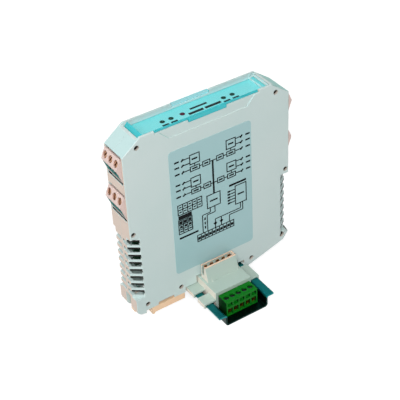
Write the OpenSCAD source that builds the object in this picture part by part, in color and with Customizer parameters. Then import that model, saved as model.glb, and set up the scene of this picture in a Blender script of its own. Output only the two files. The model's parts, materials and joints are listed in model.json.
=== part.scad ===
// Rail-mounted signal isolator on a short top-hat rail, with bus connectors and a supply plug.
// Millimetres. X runs across the rail, Y runs along it, +Z points up to the front of the module.
// The origin lies on the underside of the rail, below the middle of the module.

/* [Rail] */
// Width over both lips
rail_w = 35; // [34.5:0.5:37]
// Height of the rail
rail_h = 7.5; // [7.5:0.5:9]
// Sheet thickness
rail_sheet = 1; // [0.8:0.1:1.2]
// Outer width of the channel between the lips
rail_channel = 27; // [26.5:0.1:28]
// Bend radius inside the folds
rail_bend = 0.8; // [0.4:0.1:1]
// Length of the piece of rail
rail_l = 55.2; // [54:0.2:120]
// Rail past the far side of the module
rail_back = 8; // [2:0.5:8]

/* [Housing] */
// Length across the rail
mod_l = 99; // [97:0.5:108]
// Thickness along the rail
mod_t = 17.5; // [17.5:0.1:19]
// Height of the front above the underside of the rail
mod_h = 114.5; // [113:0.5:128]
// Length of the flat front between the end slopes
front_l = 77.4; // [72:0.2:82]
// Drop of the end slopes
slope_drop = 8.1; // [7:0.1:9]
// Thickness of the broad side walls
side_wall = 1.2; // [1:0.05:1.3]
// Thickness of the narrow end walls
rim_wall = 1.8; // [1.5:0.1:2.2]
// Thickness of the base
floor_wall = 1.2; // [1:0.1:1.4]
// Gap between the two shells at the parting line
seam_gap = 0.05; // [0.05:0.05:0.25]
// Depth of the finger recess in the broad sides
recess_depth = 0.5; // [0.3:0.1:0.7]
// Height of the finger recess below the front edge
recess_h = 7; // [5:0.5:8]
// Length of the finger recess at its lower edge
recess_l = 46; // [40:1:50]
// Drop of the near rim along the finger recess
rim_drop = 1.5; // [1:0.1:1.8]

/* [Pegs] */
// Diameter of the closing pegs
peg_d = 2.4; // [2:0.1:2.6]
// Radial gap between peg and hole
peg_gap = 0.15; // [0.1:0.05:0.25]
// Wall round a peg hole
peg_wall = 1; // [0.8:0.1:1.2]
// Depth of the peg ends below the near side
peg_recess = 3.2; // [1:0.1:3.4]

/* [Vents] */
// Number of vent slots in each corner
vent_count = 8; // [5:1:9]
// Housing between the slanted corner and the lower plug opening
vent_space = 11.2; // [11:0.1:13]
// Height of a slot
vent_h = 2.5; // [1.6:0.1:2.6]
// Height of the lowest slot above the underside of the rail
vent_z = 17.8; // [17.4:0.1:19]
// Length of the slanted corner on the broad side
vent_run = 5.5; // [4:0.1:6]
// Depth of the slanted corner on the narrow end, near shell
vent_depth = 4.25; // [3.5:0.05:5]
// Depth of the slanted corner on the narrow end, far shell
far_vent_depth = 2.4; // [2:0.1:3]
// Wall left between a slot and the parting line
vent_rib = 1; // [0.8:0.1:1.5]

/* [Front cover] */
// Thickness of the cover over all
cover_h = 2.4; // [2.2:0.1:2.6]
// Wall of the cover
cover_wall = 0.9; // [0.7:0.1:1]
// Depth of the cover's top below the front edge
cover_drop = 0.2; // [0.1:0.05:0.4]
// Gap round the cover
cover_gap = 0.35; // [0.25:0.05:0.5]
// Run of the cover's sloping free end
cover_slant = 2.2; // [1.6:0.1:2.4]
// Length of the wide middle tab
tab_l = 22; // [16:0.5:26]
// Diameter of the pivot pins
pivot_d = 1.4; // [1.2:0.1:1.5]
// Radial gap round the pivot pins
pivot_gap = 0.08; // [0.05:0.01:0.1]
// Diameter of the lamps
lamp_d = 2.6; // [2.2:0.1:2.8]
// Length of the lamps below the front wall
lamp_l = 6; // [5:0.5:7]
// Thickness of the printed strip under the cover
strip_t = 0.3; // [0.2:0.05:0.4]

/* [Terminal plugs] */
// Pitch of the poles
pole_pitch = 5.08; // [4.6:0.02:5.08]
// Height of a plug opening in the housing
slot_h = 16.8; // [16:0.1:17]
// Distance between the two plug openings of one end
slot_pitch = 22.5; // [20.5:0.1:24]
// Depth of the tool pocket below each plug opening
pocket_h = 3.2; // [2:0.1:3.4]
// Wall left at the mouth of that pocket
sill_t = 0.5; // [0.4:0.05:0.8]
// Height of a terminal plug
plug_h = 14.4; // [14:0.1:15.4]
// Gap beside a terminal plug
plug_gap = 0.3; // [0.25:0.05:0.4]
// Height of the lip between screw face and wire face
lip_z = 8.5; // [8:0.1:9]
// Thickness of the plug's upper front edge
brow_t = 0.6; // [0.5:0.05:0.8]
// Depth of the groove behind that edge
brow_h = 1.2; // [0.8:0.1:1.3]
// How far the lip stands out of the housing
lip_out = 2.8; // [1.6:0.1:3.2]
// Length of the plug's body inside the housing
plug_body = 9.5; // [9.5:0.1:11]
// Length of the plug's nose in its header
plug_nose = 6; // [5:0.1:6.5]
// Diameter of the screw holes
screw_hole = 3.9; // [3.4:0.1:3.9]
// Radial gap round a screw head
screw_gap = 0.15; // [0.15:0.05:0.3]
// Depth of the screw heads below the face
screw_sunk = 0.6; // [0.4:0.1:1.2]
// Width of a wire opening
wire_w = 4; // [3.6:0.1:4]
// Height of a wire opening
wire_h = 6.2; // [5.4:0.1:6.4]
// Depth of the hollow round the wire openings
wire_hollow = 1.6; // [1:0.1:1.8]
// Length of a wire clamp
clamp_l = 5.6; // [4:0.1:5.8]
// Height of the wire's way through a clamp
clamp_open = 1.8; // [1.2:0.1:4]
// Thickness of the header walls
header_wall = 2; // [1.8:0.1:2.2]
// Side of the square header pins
pin_side = 1; // [0.8:0.1:1]

/* [Latch] */
// Height of the latch bar
latch_h = 4; // [3.6:0.1:4.2]
// Drop of the latch bar below its finger
latch_step = 1; // [0.6:0.1:1.2]
// Travel that frees the rail
latch_travel = 3.5; // [3.2:0.1:3.7]
// Gap between the latch and what it slides on
latch_gap = 0.3; // [0.2:0.05:0.35]
// Width of the gap between the two lugs
lug_gap = 4.4; // [4:0.1:5]
// Length of the lugs
lug_l = 5.5; // [5:0.1:6]

/* [Bus connector] */
// Pitch of the bus poles
bus_pitch = 3.81; // [3.6:0.01:3.81]
// Width of the connector body across the rail
bus_w = 22.8; // [22.4:0.1:23.4]
// Height of the connector body above the underside of the rail
bus_h = 13; // [12.6:0.1:13.6]
// Height of the contact block above the connector body
block_h = 8.5; // [7.5:0.1:9]
// Depth of the contact block at its top
block_d = 4.3; // [4:0.1:4.4]
// Depth of the trough that joins the contact chambers
trough_d = 2.2; // [1:0.1:3]
// Thickness of the wings on the rail's lips
wing_t = 1.1; // [0.9:0.1:1.3]
// Width of the clips at the ends of the wings
clip_t = 1; // [0.8:0.1:1.2]
// Depth of the socket in the connector's front
socket_d = 7; // [6.6:0.1:7.4]
// Height of the socket
socket_h = 7; // [6.8:0.1:7.2]

/* [Supply plug] */
// Width of the supply plug
supply_w = 20; // [19.6:0.1:20.8]
// Height of the supply plug
supply_h = 9.9; // [9.6:0.1:10.4]
// Length of the supply plug in front of the connector
supply_l = 7.6; // [7:0.1:9]
// Diameter of its screw holes
supply_screw = 2.9; // [2.6:0.1:3]

/* [Circuit board] */
// Thickness of the board
board_t = 1.6; // [1.4:0.1:1.6]
// Gap between the board and the far side wall
board_gap = 0.3; // [0.2:0.05:0.35]
// Height of the board's lower edge above the bus connector's room
board_up = 16.1; // [15.8:0.1:18]
// Distance of the board's ends from the ends of the housing
board_end = 9; // [8.5:0.5:12]
// Length of the signal transformers' cores
core_l = 13; // [11:0.5:14]
// Height of the parts on the board
part_h = 9.5; // [8:0.5:10]
// Length of the optocouplers
opto_l = 10; // [8:0.5:11]
// Diameter of the filter capacitors
can_d = 7; // [5:0.5:8]
// Length of the integrated circuits
chip_l = 7; // [5:0.5:8]

/* [Side label] */
// Length of the label on the near side
label_l = 49.4; // [40:0.2:52]
// Height of the label
label_h = 78.4; // [60:0.2:80]
// Height of the label's lower edge above the top of the contact block
label_up = -0.8; // [-2:0.1:4]
// Offset of the label from the middle of the module
label_x = 0.5; // [-4:0.1:4]
// Thickness of the label film
label_t = 0.15; // [0.1:0.05:0.2]

/* [Hidden] */
$fn = 48;

shell_white = "#d5dedd";
plug_beige = "#d9d4cb";
brass = "#c99a62";
tin = "#b9bcc0";

half_l = mod_l / 2;
half_t = mod_t / 2;
fit = 0.1;
cut = 1;

// Rail, and what sits on its lips
lip_x = rail_w / 2;
lip_under = rail_h - rail_sheet;
wing_z = rail_h + fit;
wing_top = wing_z + wing_t;
clip_gap = 0.15;
clip_x = lip_x + clip_gap + clip_t;

// Base of the housing
rail_room_x = clip_x + 0.55;
rail_room_z = wing_top + 0.2;
latch_top = lip_under - latch_gap;
bar_top = latch_top - latch_step;
base_z = bar_top + 0.5;
lug_x = half_l - lug_l;
lug_z = base_z - 1.8;
lug_r = 4;
lug_top = vent_z - 3.3;
hook_x = rail_room_x + 1.5;
hook_z = rail_h - 4.7;
hook_nose = 3;
hook_side = 2.35;
heel_x = half_l - 3.3;
heel_z = rail_h + 2.9;
heel_top = heel_z + 4.6;
slant = atan((heel_z - hook_z) / (heel_x - hook_x));
function slant_z(x) = hook_z + (x - hook_x) * tan(slant);

// Front of the housing
slope_run = half_l - front_l / 2;
slope = atan(slope_drop / slope_run);
end_z = mod_h - slope_drop;
function slope_z(x) = mod_h - (x - front_l / 2) * tan(slope);
cover_top = mod_h - cover_drop;
cover_low = cover_top - cover_h;
strip_z = cover_low - 0.3 - strip_t;
front_wall = 1.6;
room_top = strip_z - front_wall;
end_rim_z = mod_h - 1.5;
cover_half_l = front_l / 2 - 0.1;
cover_half_w = half_t - side_wall - cover_gap;
pivot_x = cover_half_l - cover_h / 2;
pivot_z = cover_top - cover_h / 2;
pivot_in = 0.7;
rim_half_l = recess_l / 2 + recess_h + 0.8;
rim_z = mod_h - rim_drop;

// Vents
vent_low = vent_z - 2.6;
vent_wall = 0.9;

// Terminal plugs, measured from the lower edge of their opening
poles = 3;
slot_low = [end_z - slot_h, end_z - slot_h - slot_pitch];
slot_half_w = half_t - side_wall;
shelf_t = 1.2;
plug_z = (slot_h - plug_h) / 2;
plug_half_w = slot_half_w - plug_gap;
lip_h = 0.6;
face_top_x = 0.5;
face_low_x = -0.4;
face_rise = plug_h - lip_z - lip_h;
face_run = lip_out - face_top_x;
face_tilt = atan(face_run / face_rise);
screw_x = lip_out - face_run * 0.45;
screw_z = lip_z + lip_h + face_rise * 0.45;
screw_depth = 5;
wire_z = 1.3;
wire_depth = 6;
clamp_wall = 0.6;
function wire_face(z) = face_low_x + (lip_out - face_low_x) * z / lip_z;
nose_half_h = 4.5;
nose_z = plug_h / 2;
nose_half_w = plug_half_w - 0.8;
header_x = plug_body + 0.3;
header_d = plug_nose + 0.3 + header_wall;
header_half_w = slot_half_w - 0.3;
header_h = slot_h - 1;
pin_tip = plug_body + 1;
pin_leg = header_x + header_d + 1;
pin_step = 2;
pole_y = [for (i = [0 : poles - 1]) (i - (poles - 1) / 2) * pole_pitch];

vent_high = slot_low[1] - vent_space;
vent_pitch = (vent_high - 4.2 - vent_z) / (vent_count - 1);

// Circuit board
board_back = half_t - side_wall - board_gap;
board_front = board_back - board_t;
board_z = rail_room_z + board_up;
board_wide_x = half_l - board_end;
board_wide_z = slot_low[1] - shelf_t - 5;
board_slim_x = half_l - header_x - header_d - 0.3;
board_top = room_top - 2.3;
low_room = board_wide_z - board_z;
high_room = board_top - board_wide_z;
bus_pin_t = 0.6;
bus_pin_w = bus_pitch / 4;
lamp_x = [-21, -16, 15, 20.3];
power_x = -9.4;
lamp_low = room_top - lamp_l;

// Bus connectors, measured from their own middle
bus_poles = 5;
bus_half_w = bus_w / 2;
bus_half_t = half_t - fit;
bus_low = rail_sheet + 0.4;
bus_x = [for (i = [0 : bus_poles - 1]) (i - (bus_poles - 1) / 2) * bus_pitch];
block_half_w = bus_poles * bus_pitch / 2 + 0.4;
block_back = board_back;
block_front = block_back - block_d;
block_foot = 2.6;
block_top = bus_h + block_h;
chamber_y = board_front - bus_pin_t / 2;
chamber_half_w = bus_pitch * 0.39;
chamber_half_d = 1.3;
end_slot_half = 0.9;
blade_half_w = 0.9;
blade_gap = bus_pin_t / 2 + 0.3;
socket_half_w = bus_poles * bus_pitch / 2 + 0.15;
socket_z = bus_low + 1.2;
tongue_gap = 0.3;
tongue_l = socket_d - 1.4;
contact_z = socket_z + socket_h / 2;
contact_side = 1;
contact_t = 0.5;
notch_half = 1.7;
right_wing = [-6, 5.5];
bus_y = [0, -mod_t];

// Latch
latch_low = bar_top - latch_h;
latch_half_w = half_t - 0.55;
latch_shoulder = lug_x - latch_travel - latch_gap;
latch_inner = clip_x + 0.95;
finger_half = notch_half - 0.4;
finger_x = rail_channel / 2 + 0.9;
finger_rise_x = rail_room_x - latch_travel - 0.3;
tongue_half = lug_gap / 2 - latch_gap;
tongue_x = half_l - 2;
neck_half = 2;
head_half = 4;
head_t = 1.2;

// Closing pegs: x and z of each
peg_hole = peg_d + 2 * peg_gap;
boss_d = peg_hole + 2 * peg_wall;
peg_top_x = front_l / 2 + 2.3;
pegs = [
  [-peg_top_x, slope_z(peg_top_x) - 3.6],
  [peg_top_x, slope_z(peg_top_x) - 3.6],
  [-(half_l - 2.2), vent_high + 2.9],
  [half_l - 2.2, vent_high + 2.9],
  [-(lug_x - 1.4), base_z + 3.9],
  [-(rail_room_x + 2.6), base_z + 5],
  [hook_x + 3.4, slant_z(hook_x + 3.4) + 4.3],
  [half_l - 4.4, slant_z(half_l - 4.4) + 4.3]
];
head_x = [rail_room_x + 5.4, lug_x - 1.4 - boss_d / 2 - latch_travel - 0.4];

// Supply plug
supply_back = -mod_t - bus_half_t - 0.3;
supply_front = supply_back - supply_l;
supply_low = rail_sheet + 0.3;
supply_top = supply_low + supply_h;
supply_half_w = supply_w / 2;
supply_screw_y = supply_front + supply_l * 0.48;
window_w = bus_pitch - 0.9;
window_low = supply_low + 0.9;
window_mid = supply_top - supply_h / 2;
screw_well = supply_h / 2;
clamp_front = supply_front + supply_l * 0.18;
clamp_back = supply_front + supply_l * 0.68;

// A box from its lowest to its highest corner
module box(low, high) {
  translate(low)
    cube(high - low);
}

// An X-Z outline drawn out along Y
module across(y0, y1) {
  translate([0, y1, 0])
    rotate([90, 0, 0])
      linear_extrude(height = y1 - y0)
        children();
}

// A Y-Z outline drawn out along X
module along(x0, x1) {
  translate([x0, 0, 0])
    rotate([90, 0, 90])
      linear_extrude(height = x1 - x0)
        children();
}

// A round bar along Y
module bar_y(x, z, d, y0, y1) {
  translate([x, y0, z])
    rotate([-90, 0, 0])
      cylinder(d = d, h = y1 - y0);
}

// The same thing at both ends of the module
module both_ends() {
  for (m = [0, 1])
    mirror([m, 0, 0])
      children();
}

// Moves a piece drawn outwards along +X to one end of the module, at one level
module at_end(side, level) {
  mirror([side < 0 ? 1 : 0, 0, 0])
    translate([half_l, 0, slot_low[level]])
      children();
}

// Housing

module housing_outline() {
  difference() {
    polygon([
      [-rail_room_x, rail_room_z],
      [-rail_room_x, base_z],
      [-lug_x, base_z],
      [-lug_x, lug_z],
      [-half_l, lug_z],
      [-half_l, end_z],
      [-front_l / 2, mod_h],
      [front_l / 2, mod_h],
      [half_l, end_z],
      [half_l, heel_top],
      [heel_x, heel_z],
      [hook_x, hook_z],
      [rail_room_x, hook_z],
      [rail_room_x, rail_room_z]
    ]);
    // rounded outer corner of the lugs
    translate([-half_l, lug_z])
      difference() {
        translate([-cut, -cut])
          square(lug_r + cut);
        translate([lug_r, lug_r])
          circle(r = lug_r);
      }
  }
}

module room_outline() {
  wall_x = half_l - rim_wall;
  slope_in = rim_wall / cos(slope);
  slant_in = floor_wall / cos(slant);
  foot_x = rail_room_x + floor_wall;
  polygon([
    [-foot_x, rail_room_z + floor_wall],
    [-foot_x, base_z + floor_wall],
    [-(lug_x - floor_wall), base_z + floor_wall],
    [-(lug_x - floor_wall), lug_top],
    [-wall_x, lug_top],
    [-wall_x, slope_z(wall_x) - slope_in],
    [-front_l / 2 - (mod_h - slope_in - room_top) / tan(slope), room_top],
    [front_l / 2 + (mod_h - slope_in - room_top) / tan(slope), room_top],
    [wall_x, slope_z(wall_x) - slope_in],
    [wall_x, heel_top + 0.8],
    [heel_x - 0.6, slant_z(heel_x - 0.6) + slant_in],
    [foot_x, slant_z(foot_x) + slant_in],
    [foot_x, rail_room_z + floor_wall]
  ]);
}

// What lies outside the slanted vent corner, moved inwards by the given wall
module vent_corner(depth, wall, z0, z1) {
  angle = atan(depth / vent_run);
  x0 = half_l - vent_run - wall / sin(angle);
  y0 = half_t - depth - wall / cos(angle);
  translate([0, 0, z0])
    linear_extrude(height = z1 - z0)
      polygon([
        [x0, half_t],
        [half_l, y0],
        [half_l + cut, y0],
        [half_l + cut, half_t + cut],
        [x0, half_t + cut]
      ]);
}

module vent_slots() {
  for (i = [0 : vent_count - 1])
    translate([half_l - vent_run, vent_rib, vent_z + i * vent_pitch - vent_h / 2])
      cube([vent_run + cut, half_t, vent_h]);
}

// Shelves above and below the plug openings of one end
module plug_shelves() {
  for (z = slot_low) {
    box([half_l - header_x - header_d, 0, z - shelf_t], [half_l, half_t, z]);
    box([half_l - header_x - header_d, 0, z + slot_h], [half_l, half_t, z + slot_h + shelf_t]);
  }
}

// Pocket below a plug opening, where a tool levers the plug out
module tool_pocket(z) {
  x = half_l - sill_t;
  across(-cut, slot_half_w)
    polygon([
      [x, z + cut],
      [x, z],
      [x - pocket_h * tan(30), z - pocket_h],
      [half_l - plug_body + 1, z - pocket_h],
      [half_l - plug_body + 1, z + cut]
    ]);
}

module finger_recess() {
  across(half_t - recess_depth, half_t + cut)
    polygon([
      [-recess_l / 2 - recess_h, mod_h + cut],
      [-recess_l / 2 - recess_h, mod_h],
      [-recess_l / 2, mod_h - recess_h],
      [recess_l / 2, mod_h - recess_h],
      [recess_l / 2 + recess_h, mod_h],
      [recess_l / 2 + recess_h, mod_h + cut]
    ]);
}

// Pocket for the cover, with its tab notches and pivot holes
module cover_pocket() {
  box([-cover_half_l - 0.3, -cut, strip_z], [cover_half_l + 0.3, slot_half_w, mod_h + cut]);
  box([-half_l, -cut, end_rim_z], [half_l, slot_half_w, mod_h + cut]);
  box([-tab_l / 2 - 0.3, 0, cover_low - 0.3], [tab_l / 2 + 0.3, half_t + cut, mod_h + cut]);
  bar_y(pivot_x, pivot_z, pivot_d + 2 * pivot_gap, 0, cover_half_w + pivot_in + cover_gap + 0.15);
}

// Openings in the base for the latch and the bus connector
module base_openings() {
  box([-bus_half_w - 0.6, -cut, 0], [bus_half_w + 0.6, half_t + cut, bus_h + 0.4]);
  box([-head_x[1] - latch_travel - 0.3, -cut, 0],
      [-head_x[0] + 0.3, neck_half + latch_gap, base_z + floor_wall + cut]);
  box([-head_x[1], half_t - 3.5, 0], [-head_x[0] - 2, half_t + cut, base_z + 1.8]);
  box([-half_l - cut, -cut, 0], [-lug_x, lug_gap / 2, lug_top]);
}

// One shell with slanted corners of the given depth, drawn on the far side
module shell_blank(depth) {
  difference() {
    union() {
      difference() {
        across(seam_gap / 2, half_t)
          housing_outline();
        difference() {
          across(-cut, half_t - side_wall)
            room_outline();
          both_ends()
            vent_corner(depth, vent_wall, vent_low - vent_wall, vent_high + vent_wall);
        }
      }
      intersection() {
        across(seam_gap / 2, half_t)
          housing_outline();
        union() {
          both_ends()
            plug_shelves();
          for (p = pegs)
            bar_y(p[0], p[1], boss_d, 0, half_t);
        }
      }
      box([rail_room_x - hook_nose - 1.2, half_t - hook_side, hook_z],
          [rail_room_x + 0.2, half_t, lip_under - 0.2]);
    }
    both_ends() {
      vent_corner(depth, 0, vent_low, vent_high);
      vent_slots();
      for (z = slot_low) {
        box([half_l - header_x - header_d - cut, -cut, z], [half_l + cut, slot_half_w, z + slot_h]);
        tool_pocket(z);
      }
    }
    finger_recess();
    cover_pocket();
    base_openings();
    for (x = concat(lamp_x, [power_x]))
      translate([x, 0, room_top - cut])
        cylinder(d = lamp_d + 0.4, h = front_wall + 2 * cut);
  }
}

module housing_near_shell() {
  color(shell_white)
    difference() {
      mirror([0, 1, 0])
        shell_blank(vent_depth);
      for (p = pegs)
        bar_y(p[0], p[1], peg_hole, -half_t - cut, cut);
      box([-rim_half_l, -half_t - cut, rim_z], [rim_half_l, 0, mod_h + cut]);
    }
}

module housing_far_shell() {
  color(shell_white) {
    shell_blank(far_vent_depth);
    for (p = pegs)
      bar_y(p[0], p[1], peg_d, -half_t + peg_recess, seam_gap);
    for (m = [-1, 1])
      for (z = [board_z + 6, board_wide_z - 6])
        bar_y(m * (board_wide_x - 6), z, 4, board_back, half_t - side_wall / 2);
  }
}

module side_label() {
  r = 2;
  color("#cfe3e6")
    across(-half_t - label_t, -half_t)
      translate([label_x - label_l / 2 + r, block_top + label_up + r])
        hull()
          for (x = [0, label_l - 2 * r])
            for (z = [0, label_h - 2 * r])
              translate([x, z])
                circle(r = r, $fn = 32);
}

// Front

module front_label() {
  color("#5fd3d8")
    difference() {
      box([-cover_half_l, -cover_half_w, strip_z], [cover_half_l, cover_half_w, strip_z + strip_t]);
      for (x = concat(lamp_x, [power_x]))
        translate([x, 0, strip_z - cut])
          cylinder(d = lamp_d + 0.2, h = strip_t + 2 * cut);
    }
}

module front_cover() {
  inner_half_w = cover_half_w - cover_wall;
  end_wall = cover_wall / cos(atan(cover_slant / cover_h));
  inner_rise = cover_h - cover_wall;
  lip_half_l = rim_half_l - cover_gap;
  lip_y = half_t - recess_depth - 0.1;
  pin_half_w = cover_half_w + cover_gap + pivot_in;
  color("#7fe0e0", 0.6)
    difference() {
      union() {
        across(-cover_half_w, cover_half_w)
          polygon([
            [-cover_half_l, cover_low],
            [pivot_x, cover_low],
            [pivot_x, cover_top],
            [-cover_half_l + cover_slant, cover_top]
          ]);
        // lip over the lowered near rim
        box([-lip_half_l, -lip_y, rim_z + 0.2], [lip_half_l, 0, cover_top]);
        box([-tab_l / 2, -half_t, cover_low], [tab_l / 2, half_t, cover_top]);
        bar_y(pivot_x, pivot_z, cover_h, -cover_half_w, cover_half_w);
        bar_y(pivot_x, pivot_z, pivot_d, -pin_half_w, pin_half_w);
      }
      across(-inner_half_w, inner_half_w)
        polygon([
          [-cover_half_l + end_wall - cover_slant * cut / cover_h, cover_low - cut],
          [pivot_x - cover_h, cover_low - cut],
          [pivot_x - cover_h, cover_low + inner_rise],
          [-cover_half_l + end_wall + cover_slant * inner_rise / cover_h, cover_low + inner_rise]
        ]);
    }
}

// A lamp's light guide, with its foot on the board
module lamp(x) {
  translate([x, 0, lamp_low])
    cylinder(d = lamp_d, h = strip_z + strip_t - lamp_low);
  box([x - lamp_d * 0.4, 0, lamp_low], [x + lamp_d * 0.4, board_front, lamp_low + lamp_d * 0.8]);
}

module status_lamps() {
  color("#1f7a3f")
    for (x = lamp_x)
      lamp(x);
}

module power_lamp() {
  color("#8c1f1f")
    lamp(power_x);
}

// Circuit board and its parts

module circuit_board() {
  color("#2e6b45")
    across(board_front, board_back)
      polygon([
        [-board_wide_x, board_z],
        [board_wide_x, board_z],
        [board_wide_x, board_wide_z],
        [board_slim_x, board_wide_z],
        [board_slim_x, board_top],
        [-board_slim_x, board_top],
        [-board_slim_x, board_wide_z],
        [-board_wide_x, board_wide_z]
      ]);
}

// A wound core, standing on the board: an outer frame, a middle leg and the round winding on it
module transformer(x, z, l) {
  low = board_front - part_h;
  leg = l * 0.18;
  difference() {
    box([x - l / 2, low, z - l / 2], [x + l / 2, board_front, z + l / 2]);
    box([x - l / 2 + leg, low - cut, z - l / 2 + leg], [x + l / 2 - leg, board_front + cut, z + l / 2 - leg]);
  }
  translate([x, (low + board_front) / 2, z - l / 2 + leg / 2])
    cylinder(d = min(l * 0.5, part_h * 0.8), h = l - leg);
}

module signal_transformers() {
  color("#3b3b3b")
    for (i = [0, 1])
      transformer(-board_slim_x * 0.2, board_wide_z + high_room * (0.22 + i * 0.39), core_l);
}

module power_transformer() {
  color("#4a4238")
    transformer(board_slim_x * 0.39, board_z + low_room * 0.46, low_room * 0.44);
}

// A row of three places up the board
function row_of_three(z, step) = [for (i = [0 : 2]) z + i * step];

module optocouplers() {
  x = -board_slim_x * 0.61;
  color("#e8e6e0")
    for (z = row_of_three(board_z + low_room * 0.24, low_room * 0.25))
      box([x - opto_l / 2, board_front - opto_l * 0.35, z - opto_l * 0.3],
          [x + opto_l / 2, board_front, z + opto_l * 0.3]);
}

module filter_capacitors() {
  color("#26324a")
    for (z = row_of_three(board_z + low_room * 0.17, low_room * 0.27))
      bar_y(board_slim_x * 0.96, z, can_d, board_front - part_h, board_front);
}

module amplifier_chips() {
  x = board_slim_x * 0.42;
  color("#202020")
    for (z = row_of_three(board_wide_z + high_room * 0.21, high_room * 0.26))
      box([x - chip_l * 0.43, board_front - chip_l * 0.26, z - chip_l / 2],
          [x + chip_l * 0.43, board_front, z + chip_l / 2]);
}

// Terminal ends: each piece is drawn outwards along +X from the end of the housing

module terminal_header() {
  color("#9fb0b0")
    difference() {
      box([-header_x - header_d, -header_half_w, 0.2], [-header_x, header_half_w, header_h]);
      box([-header_x - header_d + header_wall, -nose_half_w - 0.3, plug_z + nose_z - nose_half_h - 0.3],
          [-header_x + cut, nose_half_w + 0.3, plug_z + nose_z + nose_half_h + 0.3]);
      for (y = pole_y)
        translate([-header_x - header_d, y, plug_z + nose_z])
          cube([4 * header_wall, pin_side + 0.1, pin_side + 0.1], center = true);
    }
}

module terminal_pins() {
  for (i = [0 : poles - 1]) {
    leg = pin_leg + (poles - 1 - i) * pin_step;
    translate([0, 0, plug_z + nose_z - pin_side / 2]) {
      box([-leg - pin_side, pole_y[i] - pin_side / 2, 0], [-pin_tip, pole_y[i] + pin_side / 2, pin_side]);
      box([-leg - pin_side, pole_y[i] - pin_side / 2, 0], [-leg, board_front, pin_side]);
    }
  }
}

module header_pins() {
  color(tin)
    for (side = [-1, 1])
      for (level = [0, 1])
        at_end(side, level)
          terminal_pins();
}

module terminal_plug() {
  color(plug_beige)
    translate([0, 0, plug_z])
      difference() {
        union() {
          across(-plug_half_w, plug_half_w)
            polygon([
              [-plug_body, 0],
              [face_low_x, 0],
              [lip_out, lip_z],
              [lip_out, lip_z + lip_h],
              [face_top_x, plug_h],
              [face_top_x - brow_t, plug_h],
              [face_top_x - brow_t, plug_h - brow_h],
              [-plug_body, plug_h - brow_h]
            ]);
          box([-plug_body - plug_nose, -nose_half_w, nose_z - nose_half_h],
              [-plug_body + 0.2, nose_half_w, nose_z + nose_half_h]);
        }
        // hollow that joins the wire openings, along the sloping wire face
        across(pole_y[0] - wire_w / 2, pole_y[poles - 1] + wire_w / 2)
          polygon([
            [wire_face(wire_z) - wire_hollow, wire_z],
            [wire_face(wire_z) + cut, wire_z],
            [wire_face(wire_z + wire_h) + cut, wire_z + wire_h],
            [wire_face(wire_z + wire_h) - wire_hollow, wire_z + wire_h]
          ]);
        for (y = pole_y) {
          translate([screw_x, y, screw_z])
            rotate([0, 90 - face_tilt, 0])
              translate([0, 0, -screw_depth])
                cylinder(d = screw_hole, h = screw_depth + cut);
          box([-wire_depth, y - wire_w / 2, wire_z], [lip_out + cut, y + wire_w / 2, wire_z + wire_h]);
          translate([-plug_body - plug_nose, y, nose_z])
            cube([2 * plug_nose, pin_side + 0.6, pin_side + 0.6], center = true);
        }
      }
}

module terminal_screws() {
  color(brass)
    translate([0, 0, plug_z])
      for (y = pole_y)
        translate([screw_x, y, screw_z])
          rotate([0, 90 - face_tilt, 0])
            difference() {
              translate([0, 0, -screw_depth])
                cylinder(d = screw_hole - 2 * screw_gap, h = screw_depth - screw_sunk);
              translate([0, 0, -screw_sunk])
                cube([0.6, screw_hole, 1.4], center = true);
            }
}

module terminal_clamps() {
  half_w = wire_w / 2 - fit;
  color(tin)
    translate([0, 0, plug_z])
      for (y = pole_y)
        difference() {
          box([-wire_depth, y - half_w, wire_z + fit],
              [-wire_depth + clamp_l, y + half_w, wire_z + wire_h - fit]);
          box([-wire_depth - cut, y - half_w + clamp_wall, wire_z + clamp_wall],
              [cut, y + half_w - clamp_wall, wire_z + clamp_wall + clamp_open]);
        }
}

module input_header_upper() { at_end(-1, 0) terminal_header(); }
module input_header_lower() { at_end(-1, 1) terminal_header(); }
module output_header_upper() { at_end(1, 0) terminal_header(); }
module output_header_lower() { at_end(1, 1) terminal_header(); }
module input_plug_upper() { at_end(-1, 0) terminal_plug(); }
module input_plug_lower() { at_end(-1, 1) terminal_plug(); }
module output_plug_upper() { at_end(1, 0) terminal_plug(); }
module output_plug_lower() { at_end(1, 1) terminal_plug(); }
module input_screws_upper() { at_end(-1, 0) terminal_screws(); }
module input_screws_lower() { at_end(-1, 1) terminal_screws(); }
module output_screws_upper() { at_end(1, 0) terminal_screws(); }
module output_screws_lower() { at_end(1, 1) terminal_screws(); }
module input_clamps_upper() { at_end(-1, 0) terminal_clamps(); }
module input_clamps_lower() { at_end(-1, 1) terminal_clamps(); }
module output_clamps_upper() { at_end(1, 0) terminal_clamps(); }
module output_clamps_lower() { at_end(1, 1) terminal_clamps(); }

// Rail and latch

module rail_section() {
  r = rail_bend;
  web = rail_channel / 2;
  y1 = half_t + rail_back;
  y0 = y1 - rail_l;
  color("#3f8f95")
    across(y0, y1) {
      both_sides()
        union() {
          square([web - r - rail_sheet, rail_sheet]);
          translate([web - r - rail_sheet, r + rail_sheet])
            quarter(r, r + rail_sheet, -1);
          translate([web - rail_sheet, r + rail_sheet])
            square([rail_sheet, rail_h - 2 * (r + rail_sheet)]);
          translate([web + r, rail_h - r - rail_sheet])
            mirror([1, 0])
              quarter(r, r + rail_sheet, 1);
          translate([web + r, lip_under])
            square([lip_x - web - r, rail_sheet]);
        }
    }
}

// The same outline on both sides of the middle
module both_sides() {
  for (m = [0, 1])
    mirror([m, 0])
      children();
}

// A quarter ring, to the right of its centre and above it, or below it
module quarter(inner, outer, up) {
  intersection() {
    difference() {
      circle(r = outer);
      circle(r = inner);
    }
    translate([0, up < 0 ? -outer : 0])
      square(outer);
  }
}

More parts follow.
